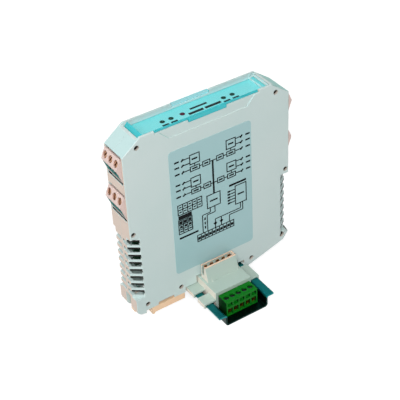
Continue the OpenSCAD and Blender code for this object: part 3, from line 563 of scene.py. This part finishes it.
def filled(group, points, corner_of):
    """The outline of a flat region and its holes, filled with triangles on the new points."""
    inside = set(group)
    after = {}
    for f in group:
        for l in f.loops:
            if l.link_loop_radial_next.face not in inside:
                after.setdefault(corner_of[l], []).append(corner_of[l.link_loop_next])
    outlines = []
    while after:
        start = here = next(iter(after))
        outline = []
        while True:
            outline.append(here)
            step = after[here].pop()
            if not after[here]:
                del after[here]
            here = step
            if here == start or here not in after:
                break
        outlines.append(outline)
    flat = [i for outline in outlines for i in outline]
    normal = group[0].normal
    triangles = []
    for t in tessellate_polygon([[points[i] for i in outline] for outline in outlines]):
        a, b, c = (flat[i] for i in t)
        turn = (points[b] - points[a]).cross(points[c] - points[a]).dot(normal)
        triangles.append((a, b, c) if turn > 0 else (a, c, b))
    return triangles


# %% [markdown]
# The new mesh is made of the filled flats, a strip along every sharp edge and the patches.
# Edges between the facets of a round face are left as they are, and shade smooth.

# %% Eased edges: the new mesh
MERGE = 0.002 * MM
LEVEL = math.radians(0.4)
SHARP = math.radians(32)


def eased_mesh(node, width_of):
    bm = bmesh.new()
    bm.from_mesh(frame["nodes"][node].data)
    bmesh.ops.remove_doubles(bm, verts=bm.verts, dist=MERGE)
    bm.normal_update()
    angles = {e: e.calc_face_angle(0.0) for e in bm.edges}
    sharp = {e for e, a in angles.items() if a > SHARP}
    level = {e for e, a in angles.items() if a < LEVEL}
    corners = [v.co.copy() for v in bm.verts]
    points, normals, corner_of, patches = corners_of(bm, sharp, width_of(corners))
    faces = []
    for group in joined_faces(bm, level):
        if len(group) == 1:
            faces.append(tuple(corner_of[l] for l in group[0].loops))
        else:
            faces += filled(group, points, corner_of)
    for edge in sharp:
        one, two = edge.link_loops
        strip = (corner_of[one.link_loop_next], corner_of[one],
                 corner_of[two.link_loop_next], corner_of[two])
        faces.append(tuple(dict.fromkeys(strip)))
    for patch, out in patches:
        a, b, c = (points[i] for i in patch[:3])
        faces.append(tuple(patch) if (b - a).cross(c - a).dot(out) > 0 else tuple(patch[::-1]))
    bm.free()
    mesh = bpy.data.meshes.new(node + "_eased")
    mesh.from_pydata(points, [], [f for f in faces if len(f) > 2])
    mesh.validate()
    mesh.shade_smooth()
    mesh.normals_split_custom_set_from_vertices([n.normalized() for n in normals])
    return mesh


print("edges over", round(math.degrees(SHARP)), "degrees are eased")

# %% [markdown]
# The half shells' outline is rounded more than their small edges, and the seam where they meet
# is kept fine. Each eased copy rides on its body and stands for its CAD solid.

# %% Pieces with eased edges
ON_OUTLINE = 0.03 * MM
PARTING = 0.1 * MM
SEAM_EDGE = 0.07 * MM
SIDEWAYS = 0.99


def ease(node, edge_mm, outline_mm=0.0):
    def width_of(corners):
        def on_outline(edge):
            facing = [f.normal for f in edge.link_faces]
            middle = (edge.verts[0].co + edge.verts[1].co) / 2
            return any(abs(n.y) > SIDEWAYS for n in facing) and all(
                max(c.dot(n) for c in corners) - middle.dot(n) < ON_OUTLINE for n in facing)

        def width(edge):
            if not outline_mm:
                return edge_mm * MM
            if all(abs(v.co.y) < PARTING for v in edge.verts):
                return SEAM_EDGE
            return (outline_mm if on_outline(edge) else edge_mm) * MM

        return width

    piece = bpy.data.objects.new(node + "_eased", eased_mesh(node, width_of))
    scene.collection.objects.link(piece)
    piece.data.materials.append(finish[slot_of[node]])
    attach(piece, body_of[node])
    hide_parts(node)
    return piece


EDGES = {"housing_near_shell": (0.14, 0.5), "housing_far_shell": (0.14, 0.5),
         "rail_latch": (0.2, 0), "module_bus_connector": (0.12, 0),
         "supply_bus_connector": (0.16, 0), "supply_plug": (0.14, 0), "front_cover": (0.12, 0),
         "rail_section": (0.06, 0)}
for end in ("input", "output"):
    for storey in ("upper", "lower"):
        EDGES[f"{end}_plug_{storey}"] = (0.07, 0)
pieces = {}
for node, (edge_mm, outline_mm) in EDGES.items():
    pieces[node] = ease(node, edge_mm, outline_mm)
    print(node, len(pieces[node].data.polygons), "faces")

# %% [markdown]
# The cover's copy gets three finishes. Its top and ceiling are the clear sheet, its near and
# left walls and the undersides of its tabs show the gathered tint, and its far wall and hinge
# end, where the light comes through from behind, are paler.

# %% Walls of the cover
CLEAR_HALF_WIDTH = 5.6 * MM
HINGE_END = 30 * MM
TAB_END = 11.3 * MM
LYING = 0.7

cover_mesh = pieces["front_cover"].data
for wall in ("cover_wall", "cover_rim"):
    cover_mesh.materials.append(finish[wall])
for face in cover_mesh.polygons:
    underside = face.normal.z < -LYING and abs(face.center.y) > CLEAR_HALF_WIDTH
    if abs(face.normal.z) > LYING and not underside:
        continue
    far_side = face.center.y > CLEAR_HALF_WIDTH and abs(face.center.x) > TAB_END
    far_wall = face.center.y > 0 and face.normal.y < -LYING
    back_lit = face.center.x > HINGE_END or far_side or far_wall
    face.material_index = 2 if back_lit else 1
print(sum(f.material_index > 0 for f in cover_mesh.polygons), "wall faces on the cover")

# %% [markdown]
# Some places get a finish of their own: a painted highlight on the thin top rim round the bus
# contacts, and painted shade on the shaded inside of the rail's channel, on the walls of the
# small holes in which the pegs sit, and in the depth of the vents and of the pockets under the
# plugs. Little light gets out of a narrow hollow, so its walls look darker than the mould.

# %% Rim, channel, peg holes, vents and pockets
RIM_DEPTH = 0.35 * MM
LIP_LOW = 6.2 * MM
HOLE_RADIUS = 1.6 * MM
VENT_LOW = Vector((36, 0, 15.4)) * MM
VENT_HIGH = Vector((49.2, 8.5, 55.8)) * MM
POCKET_TOPS = (89.6, 67.1)
POCKET_HEIGHT = 3.25
POCKET_SPAN = (37 * MM, 49.1 * MM)
# limits on a normal: along its hole for a wall, and upward for a slot and for a rim
WALL_LEAN = 0.3
SLOT_LEAN = 0.5
RIM_LEAN = 0.3
# middles of the peg holes, as X and Z in millimetres
PEGS = ((-41, 109.2), (41, 109.2), (-47.3, 58.8), (47.3, 58.8), (-42.6, 9.6), (-21.8, 10.7),
        (24.1, 8.1), (45.1, 14.4))


def second_finish(node, name, chosen):
    mesh = pieces[node].data
    mesh.materials.append(finish[name])
    faces = [face for face in mesh.polygons if chosen(face)]
    for face in faces:
        face.material_index = len(mesh.materials) - 1
    print(node, len(faces), "faces in", name)


def by_peg(face):
    return abs(face.normal.y) < WALL_LEAN and any(
        math.hypot(face.center.x - x * MM, face.center.z - z * MM) < HOLE_RADIUS for x, z in PEGS)


def in_vent(face):
    place = [abs(c) for c in face.center]
    return face.normal.z < SLOT_LEAN and all(a < b < c for a, b, c in zip(VENT_LOW, place, VENT_HIGH))


def in_pocket(face):
    return POCKET_SPAN[0] < abs(face.center.x) < POCKET_SPAN[1] and any(
        0 < top - face.center.z / MM < POCKET_HEIGHT for top in POCKET_TOPS)


rim_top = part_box("supply_bus_connector")[1][2]
# the up-facing top rim of the bus connector takes a painted highlight
second_finish("supply_bus_connector", "connector_rim",
              lambda face: face.normal.z > RIM_LEAN and rim_top - face.center.z < RIM_DEPTH)
second_finish("rail_section", "rail_channel", lambda face: face.center.z < LIP_LOW)
second_finish("housing_near_shell", "hole_shade", by_peg)
for shell in ("housing_near_shell", "housing_far_shell"):
    second_finish(shell, "vent_shade", in_vent)
    second_finish(shell, "pocket_shade", in_pocket)

# %% [markdown]
# A wire opening looks blue-green, because its walls throw back the light of the plated clamp
# inside. The faces that lie behind the plug's sloping wire face get that colour.

# %% Wire openings of the plugs
BEHIND_FACE = (0.25 * MM, 7 * MM)
OPENING_HALF_WIDTH = 7.12 * MM
SILL = 0.8 * MM
NEARBY = 0.1 * MM

for node, piece in pieces.items():
    if "_plug_" not in node:
        continue
    mesh = piece.data
    mesh.materials.append(finish["wire_opening"])
    out = math.copysign(1, mesh.vertices[0].co.x)
    corners = [Vector((out * v.co.x, 0, v.co.z)) for v in mesh.vertices]
    tip = max(c.x for c in corners)
    lip = min((c for c in corners if tip - c.x < NEARBY), key=lambda c: c.z)
    foot_z = min(c.z for c in corners)
    foot = max((c for c in corners if c.z - foot_z < NEARBY), key=lambda c: c.x)
    inward_normal = Vector((foot.z - lip.z, 0, lip.x - foot.x)).normalized()
    for face in mesh.polygons:
        centre = Vector((out * face.center.x, 0, face.center.z))
        depth = (centre - lip).dot(inward_normal)
        if (BEHIND_FACE[0] < depth < BEHIND_FACE[1] and foot.z + SILL < centre.z < lip.z
                and abs(face.center.y) < OPENING_HALF_WIDTH):
            face.material_index = 1
    print(node, sum(f.material_index for f in mesh.polygons), "faces in its openings")

# %% [markdown]
# Screws and print repeat one small shape many times, which is work for Geometry Nodes. The first
# function opens a tree with named inputs. The second runs points through it and keeps the
# result as a plain mesh.

# %% Helpers for Geometry Nodes
def new_geometry_tree(name, inputs):
    tree = bpy.data.node_groups.new(name, "GeometryNodeTree")
    for title, kind in inputs.items():
        tree.interface.new_socket(title, in_out="INPUT", socket_type="NodeSocket" + kind)
    tree.interface.new_socket("Result", in_out="OUTPUT", socket_type="NodeSocketGeometry")
    return tree, add_node(tree, "NodeGroupInput").outputs


def through_tree(name, points, tree, values):
    """An object with the tree as its modifier, turned into a plain mesh."""
    obj = bpy.data.objects.new(name, points)
    scene.collection.objects.link(obj)
    modifier = obj.modifiers.new(name, "NODES")
    modifier.node_group = tree
    sockets = {i.name: i.identifier for i in tree.interface.items_tree if i.in_out == "INPUT"}
    for title, value in values.items():
        modifier[sockets[title]] = value
    graph = bpy.context.evaluated_depsgraph_get()
    mesh = bpy.data.meshes.new_from_object(obj.evaluated_get(graph),
                                           preserve_all_data_layers=True, depsgraph=graph)
    mesh.name = name
    obj.modifiers.clear()
    obj.data = mesh
    return obj


# %% [markdown]
# Seventeen screws are one slotted screw in two sizes. The tree starts with a cylinder, lifts its
# top into a crown, cuts the slot with a box and keeps the edges of the slot crisp. Then it
# stands the screw on its lower end.

# %% Shape of one screw
ROUND_SIDES = 40
TOP_RINGS = 8
CRISP = math.radians(30)
# the cutter is four radii long, as wide as the slot and twice as high as the slot is deep
CUTTER = (4, 1, 2)

tree, given = new_geometry_tree("slotted_screws", {
    "Places": "Geometry", "Radius": "Float", "Length": "Float", "Crown": "Float",
    "Slot width": "Float", "Slot depth": "Float", "Seed": "Int", "Plating": "Material"})
blank = add_node(tree, "GeometryNodeMeshCylinder",
                 {"Vertices": ROUND_SIDES, "Fill Segments": TOP_RINGS, "Radius": given["Radius"],
                  "Depth": given["Length"]}, fill_type="TRIANGLE_FAN")
place = add_node(tree, "GeometryNodeInputPosition")
flat = add_node(tree, "ShaderNodeVectorMath", {0: place.outputs[0], 1: (1, 1, 0)},
                operation="MULTIPLY")
from_axis = add_node(tree, "ShaderNodeVectorMath", {0: flat.outputs[0]}, operation="LENGTH")
share = add_node(tree, "ShaderNodeMath", {0: from_axis.outputs["Value"], 1: given["Radius"]},
                 operation="DIVIDE")
square = add_node(tree, "ShaderNodeMath", {0: share.outputs[0], 1: 2.0}, operation="POWER")
height = add_node(tree, "ShaderNodeMath", {0: 1.0, 1: square.outputs[0]}, operation="SUBTRACT")
lift = add_node(tree, "ShaderNodeMath", {0: height.outputs[0], 1: given["Crown"]},
                operation="MULTIPLY")
lifted = add_node(tree, "ShaderNodeCombineXYZ", {"Z": lift.outputs[0]})
domed = add_node(tree, "GeometryNodeSetPosition",
                 {"Geometry": blank.outputs["Mesh"], "Selection": blank.outputs["Top"],
                  "Offset": lifted.outputs[0]})
half_length = add_node(tree, "ShaderNodeMath", {0: given["Length"], 1: 0.5}, operation="MULTIPLY")
slot = add_node(tree, "ShaderNodeCombineXYZ",
                {"X": given["Radius"], "Y": given["Slot width"], "Z": given["Slot depth"]})
slot_size = add_node(tree, "ShaderNodeVectorMath", {0: slot.outputs[0], 1: CUTTER},
                     operation="MULTIPLY")
crown_top = add_node(tree, "ShaderNodeMath", {0: half_length.outputs[0], 1: given["Crown"]},
                     operation="ADD")
slot_place = add_node(tree, "ShaderNodeCombineXYZ", {"Z": crown_top.outputs[0]})
cutter = add_node(tree, "GeometryNodeMeshCube", {"Size": slot_size.outputs[0]})
cutter = add_node(tree, "GeometryNodeTransform",
                  {"Geometry": cutter.outputs[0], "Translation": slot_place.outputs[0]})
slotted = add_node(tree, "GeometryNodeMeshBoolean",
                   {"Mesh 1": domed.outputs[0], "Mesh 2": cutter.outputs[0]}, operation="DIFFERENCE")
bend = add_node(tree, "GeometryNodeInputMeshEdgeAngle")
crease = add_node(tree, "ShaderNodeMath", {0: bend.outputs[0], 1: CRISP}, operation="GREATER_THAN")
smooth = add_node(tree, "GeometryNodeSetShadeSmooth",
                  {"Geometry": slotted.outputs[0], "Shade Smooth": True})
creased = add_node(tree, "GeometryNodeSetShadeSmooth",
                   {"Geometry": smooth.outputs[0], "Selection": crease.outputs[0], "Shade Smooth": False},
                   domain="EDGE")
on_end = add_node(tree, "ShaderNodeCombineXYZ", {"Z": half_length.outputs[0]})
stood = add_node(tree, "GeometryNodeTransform",
                 {"Geometry": creased.outputs[0], "Translation": on_end.outputs[0]})
print(len(tree.nodes), "nodes shape one screw")

# %% [markdown]
# The rest of the tree sets a copy on every place. Each copy stands along the axis that its place
# carries, and is turned a little about it, as the last hand left it. The turn is drawn with a
# fixed seed, so it is the same on each run.

# %% A screw on every place
MOST_TURN = 0.6

axis = add_node(tree, "GeometryNodeInputNamedAttribute", {"Name": "axis"}, data_type="FLOAT_VECTOR")
along_axis = add_node(tree, "FunctionNodeAlignRotationToVector",
                      {"Vector": axis.outputs[0]}, axis="Z")
turn = add_node(tree, "FunctionNodeRandomValue",
                {"Min": -MOST_TURN, "Max": MOST_TURN, "Seed": given["Seed"]}, data_type="FLOAT")
turn_value = next(o for o in turn.outputs if o.enabled)
about_axis = add_node(tree, "FunctionNodeAxisAngleToRotation",
                      {"Axis": (0, 0, 1), "Angle": turn_value})
turned = add_node(tree, "FunctionNodeRotateRotation",
                  {"Rotation": along_axis.outputs[0], "Rotate By": about_axis.outputs[0]},
                  rotation_space="LOCAL")
set_out = add_node(tree, "GeometryNodeInstanceOnPoints",
                   {"Points": given["Places"], "Instance": stood.outputs[0],
                    "Rotation": turned.outputs[0]})
solid = add_node(tree, "GeometryNodeRealizeInstances", {"Geometry": set_out.outputs[0]})
plated = add_node(tree, "GeometryNodeSetMaterial",
                  {"Geometry": solid.outputs[0], "Material": given["Plating"]})
add_node(tree, "NodeGroupOutput", {"Result": plated.outputs[0]})
screw_tree = tree
print(len(screw_tree.nodes), "nodes in the screw tree")


# %% [markdown]
# Every screw of a CAD node becomes one point that carries its axis. The largest flat face of a
# CAD screw is its lower end, and the axis stands on that end. The size is read from the same
# solid, so the finished screws fit their holes as the CAD screws do.

# %% Slotted screws
LOWER_END = 0.02 * MM


def loose_parts(mesh):
    """The separate solids of a mesh, each as the normal, area and corners of its faces."""
    bm = bmesh.new()
    bm.from_mesh(mesh)
    bmesh.ops.remove_doubles(bm, verts=bm.verts, dist=MERGE)
    parts = [[(f.normal.copy(), f.calc_area(), [v.co.copy() for v in f.verts]) for f in group]
             for group in joined_faces(bm, set(bm.edges))]
    bm.free()
    return parts


def end_and_axis(part):
    """The middle of a screw's lower end, its axis, its length and its radius."""
    areas = {}
    for normal, area, cs in part:
        plane = tuple(round(c, 2) for c in normal) + (round(normal.dot(cs[0]) / MM, 1),)
        areas[plane] = areas.get(plane, 0) + area
    axis = -Vector(max(areas, key=areas.get)[:3]).normalized()
    corners = [c for _, _, cs in part for c in cs]
    lowest = min(c.dot(axis) for c in corners)
    rim = {tuple(round(x, 7) for x in c): c for c in corners if c.dot(axis) - lowest < LOWER_END}
    middle = sum(rim.values(), Vector()) / len(rim)
    length = max(c.dot(axis) for c in corners) - lowest
    radius = max((c - middle).length for c in rim.values())
    return middle, axis, length, radius


def screws(node, crown_mm, slot_mm, depth_mm, seed):
    found = [end_and_axis(part) for part in loose_parts(frame["nodes"][node].data)]
    points = bpy.data.meshes.new(node + "_slotted")
    points.from_pydata([middle for middle, *_ in found], [], [])
    points.attributes.new("axis", "FLOAT_VECTOR", "POINT").data.foreach_set(
        "vector", [c for _, axis, _, _ in found for c in axis])
    piece = through_tree(node + "_slotted", points, screw_tree, {
        "Radius": found[0][3], "Length": found[0][2], "Crown": crown_mm * MM,
        "Slot width": slot_mm * MM, "Slot depth": depth_mm * MM, "Seed": seed,
        "Plating": finish[slot_of[node]]})
    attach(piece, body_of[node])
    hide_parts(node)
    print(node, len(found), "screws, radius", round(found[0][3] / MM, 2), "mm,",
          len(piece.data.polygons), "faces")


for number, node in enumerate(n for n in frame["nodes"] if "_screws_" in n):
    screws(node, crown_mm=0.25, slot_mm=0.8, depth_mm=1.0, seed=number)
screws("supply_screws", crown_mm=0.2, slot_mm=0.5, depth_mm=0.6, seed=7)

# %% [markdown]
# Print is a thin layer of ink on a film. Every stroke of a block diagram is a straight bar, so
# each bar is one point that carries its length, its width and its turn. A Geometry Nodes tree
# sets a slab of ink on every point, lays the page on its film and gives it the ink material.

# %% Geometry Nodes tree for print
tree, given = new_geometry_tree("printed_bars", {
    "Bars": "Geometry", "Ink height": "Float", "Page corner": "Vector", "Page turn": "Vector",
    "Ink": "Material"})
bar_size = add_node(tree, "GeometryNodeInputNamedAttribute", {"Name": "bar_size"},
                    data_type="FLOAT_VECTOR")
bar_turn = add_node(tree, "GeometryNodeInputNamedAttribute", {"Name": "bar_turn"}, data_type="FLOAT")
turned = add_node(tree, "ShaderNodeCombineXYZ", {"Z": bar_turn.outputs[0]})
flat = add_node(tree, "ShaderNodeCombineXYZ", {"X": 1.0, "Y": 1.0, "Z": given["Ink height"]})
slab_size = add_node(tree, "ShaderNodeVectorMath",
                     {0: bar_size.outputs[0], 1: flat.outputs[0]}, operation="MULTIPLY")
slab = add_node(tree, "GeometryNodeMeshCube", {"Size": (1, 1, 1)})
laid = add_node(tree, "GeometryNodeInstanceOnPoints",
                {"Points": given["Bars"], "Instance": slab.outputs[0],
                 "Rotation": turned.outputs[0], "Scale": slab_size.outputs[0]})
solid = add_node(tree, "GeometryNodeRealizeInstances", {"Geometry": laid.outputs[0]})
placed = add_node(tree, "GeometryNodeTransform",
                  {"Geometry": solid.outputs[0], "Translation": given["Page corner"],
                   "Rotation": given["Page turn"]})
inked = add_node(tree, "GeometryNodeSetMaterial",
                 {"Geometry": placed.outputs[0], "Material": given["Ink"]})
add_node(tree, "NodeGroupOutput", {"Result": inked.outputs[0]})
print_tree = tree
print(len(print_tree.nodes), "nodes in the print tree")

# %% [markdown]
# A page of print is drawn in millimetres from its lower left corner. A frame is four bars, a
# route is a bar for each stretch, and a word that is too small to read is a plain bar.

# %% Drawing a page
HAIRLINE = 0.6
INK_HEIGHT = 0.04


def bar(x0, y0, x1, y1, width):
    """A straight stroke as its middle, its length and width, and its turn."""
    return ((x0 + x1) / 2, (y0 + y1) / 2, math.hypot(x1 - x0, y1 - y0), width,
            math.atan2(y1 - y0, x1 - x0))


def route(*corners, width=HAIRLINE):
    return [bar(*a, *b, width) for a, b in zip(corners, corners[1:])]


def frame_of(x, y, wide, high):
    lap = HAIRLINE / 2
    return [bar(x - lap, y + j * high, x + wide + lap, y + j * high, HAIRLINE) for j in (0, 1)] + [
        bar(x + i * wide, y, x + i * wide, y + high, HAIRLINE) for i in (0, 1)]


def cells(x, y, wide, high, columns, rows):
    """A ruled table: its frame and the lines between its columns and rows."""
    lines = frame_of(x, y, wide, high)
    for i in range(1, columns):
        lines += route((x + i * wide / columns, y), (x + i * wide / columns, y + high))
    for j in range(1, rows):
        lines += route((x, y + j * high / rows), (x + wide, y + j * high / rows))
    return lines


def word(x, y, wide, high=0.8):
    return [bar(x, y, x + wide, y, high)]


def printed(name, bars, corner, turn, body, slot):
    """A page of bars, laid on its film and made one mesh."""
    points = bpy.data.meshes.new(name)
    points.from_pydata([(x * MM, y * MM, 0) for x, y, *_ in bars], [], [])
    size = points.attributes.new("bar_size", "FLOAT_VECTOR", "POINT")
    size.data.foreach_set("vector", [v for _, _, long, wide, _ in bars
                                     for v in (long * MM, wide * MM, MM)])
    lean = points.attributes.new("bar_turn", "FLOAT", "POINT")
    lean.data.foreach_set("value", [b[4] for b in bars])
    piece = through_tree(name, points, print_tree, {
        "Ink height": INK_HEIGHT, "Page corner": corner, "Page turn": turn, "Ink": finish["ink"]})
    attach(piece, body)
    print(name, len(bars), "bars")


# %% [markdown]
# The side label shows what the module does, as such labels do. Two isolating channels run from
# the terminals on the left to those on the right, through an input stage, a modulator, a
# demodulator and an output stage.

# %% Channels of the block diagram
UPPER_CHANNEL = 61.1
CHANNEL_PITCH = 14.0
SPINE_X = 24.1


def stage(x, y, wide, high):
    return frame_of(x, y, wide, high) + word(x + 0.2 * wide, y + high / 2, 0.6 * wide, 1.0)


def terminal(x, y, reach):
    """A terminal: its word, a slanted tick and the line to its stage."""
    out = math.copysign(1, reach)
    return (route((x, y), (x + reach, y)) + [bar(x - 1.0, y - 0.7, x + 0.4, y + 0.7, 1.0)]
            + word(x - out * 3.6 - 1.4, y, 2.8, 1.0))


def channel(base):
    """One isolating channel whose row of stages stands at this height."""
    row = base + 1.4
    lines = stage(10.8, base, 5.4, 2.7) + stage(10.7, base + 4.3, 5.7, 5.6)
    lines += stage(18.2, base, 4.2, 3.0) + stage(26.6, base, 4.0, 3.0)
    lines += stage(32.8, base, 5.0, 2.7) + stage(32.6, base + 4.3, 5.6, 5.4)
    lines += route((16.2, row), (18.2, row)) + route((22.4, row), (26.6, row))
    lines += route((30.6, row), (32.8, row))
    for x in (13.5, 35.3):
        lines += route((x, base + 2.7), (x, base + 4.3))
    for y in (row, base + 5.4, base + 8.8):
        lines += terminal(6.6, y, 4.1) + terminal(42.2, y, -4.0)
    return lines


diagram = channel(UPPER_CHANNEL) + channel(UPPER_CHANNEL - CHANNEL_PITCH)
diagram += route((SPINE_X, 41.6), (SPINE_X, 62.5), width=1.1)
print(len(diagram), "bars in the channels")


# %% [markdown]
# Below the channels stands what they share: a controller, a connector with its pins, two setting
# tables, a terminal strip and the lines between these. Then the page is laid on the label.

# %% Controller, tables and terminal strip
PIN_ROW = 30.8
PIN_PITCH = 1.9
PAGE_MARGIN = Vector((1.4, 0, 1.0)) * MM


def duct(*corners, aside=2.9, below=1.0):
    """Two lines side by side, as for a ribbon of wires."""
    return route(*corners) + route(*[(x + aside, y - below * (0 < i < len(corners) - 1))
                                     for i, (x, y) in enumerate(corners)])


diagram += stage(19.7, 33.5, 8.1, 8.1) + stage(37.3, 28.3, 6.9, 12.0)
diagram += word(33.6, 42.0, 10.7, 1.3) + word(1.9, 21.9, 11.7, 1.2)
for pin in range(5):
    y = PIN_ROW + PIN_PITCH * pin
    diagram += route((32.8, y), (37.3, y)) + word(32.4, y, 1.6, 1.2)
diagram += cells(2.0, 37.1, 14.5, 6.2, 5, 2)
for column in range(5):
    x = 2.7 + 2.9 * column
    diagram += word(x, 41.8, 1.5) + word(x, 38.7, 1.5)
diagram += word(1.9, 35.2, 8.2, 2.6) + cells(1.9, 24.7, 8.2, 8.8, 3, 3)
for column in range(3):
    x = 2.5 + 2.73 * column
    diagram += word(x - 0.2, 32.0, 1.9, 2.0) + word(x, 29.1, 1.7, 1.6) + word(x, 26.2, 1.7, 0.9)
diagram += duct((21.4, 33.5), (21.4, 30.6), (16.4, 30.6), (16.4, 18.9))
for y in (21.2, 24.0, 26.8):
    diagram += route((17.9, y), (17.9, y + 1.8), width=0.9)
diagram += route((41.8, 28.3), (41.8, 23.3), (33.1, 23.3), (33.1, 18.9))
diagram += route((40.4, 28.3), (40.4, 24.7), (24.2, 24.7), (24.2, 18.9))
for x in (24.2, 28.0):
    diagram += route((x - 0.8, 22.4), (x, 21.2), (x + 0.8, 22.4), width=1.0)
diagram += route((28.0, 24.7), (28.0, 18.9))
diagram += cells(12.8, 14.7, 23.0, 4.2, 10, 1)
for column in range(10):
    diagram += word(13.2 + 2.3 * column, 16.6, 1.5, 1.8)

low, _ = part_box("side_label")
printed("side_label_print", diagram, tuple(Vector(low) + PAGE_MARGIN), (math.pi / 2, 0, 0),
        body_of["side_label"], slot_of["side_label"])

# %% [markdown]
# The strip under the clear cover names the lamps. Short bars stand for those names, and two
# longer ones for the words in the middle, beside the red lamp.

# %% Names on the front strip
NAME_LENGTH = 3.8
NAME_ROW = -3.3

low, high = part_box("front_label")
strip_middle = Vector(((low[0] + high[0]) / 2, (low[1] + high[1]) / 2, high[2]))
names = []
for lamp in loose_parts(frame["nodes"]["status_lamps"].data):
    sides = [(corner.x - strip_middle.x) / MM for _, _, corners in lamp for corner in corners]
    lamp_x = (min(sides) + max(sides)) / 2
    names += word(lamp_x - NAME_LENGTH / 2, NAME_ROW, NAME_LENGTH, 1.2)
    print("lamp at", round(lamp_x, 1), "mm")
names += word(-4.2, 1.3, 10.0, 1.4) + word(-7.0, -2.2, 8.6, 1.8) + word(2.6, -2.2, 9.4, 1.8)
printed("front_strip_print", names, tuple(strip_middle), (0, 0, 0), body_of["front_label"],
        slot_of["front_label"])

# %% [markdown]
# Last, the script notes how large the CAD box and the finished model are, so that they can
# be compared, and hands the scene over.

# %% Sizes and finish
plain = lambda bounds: [[float(c) for c in corner] for corner in bounds]
{"cad": plain(cad_bounds), "visual": plain(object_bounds())}
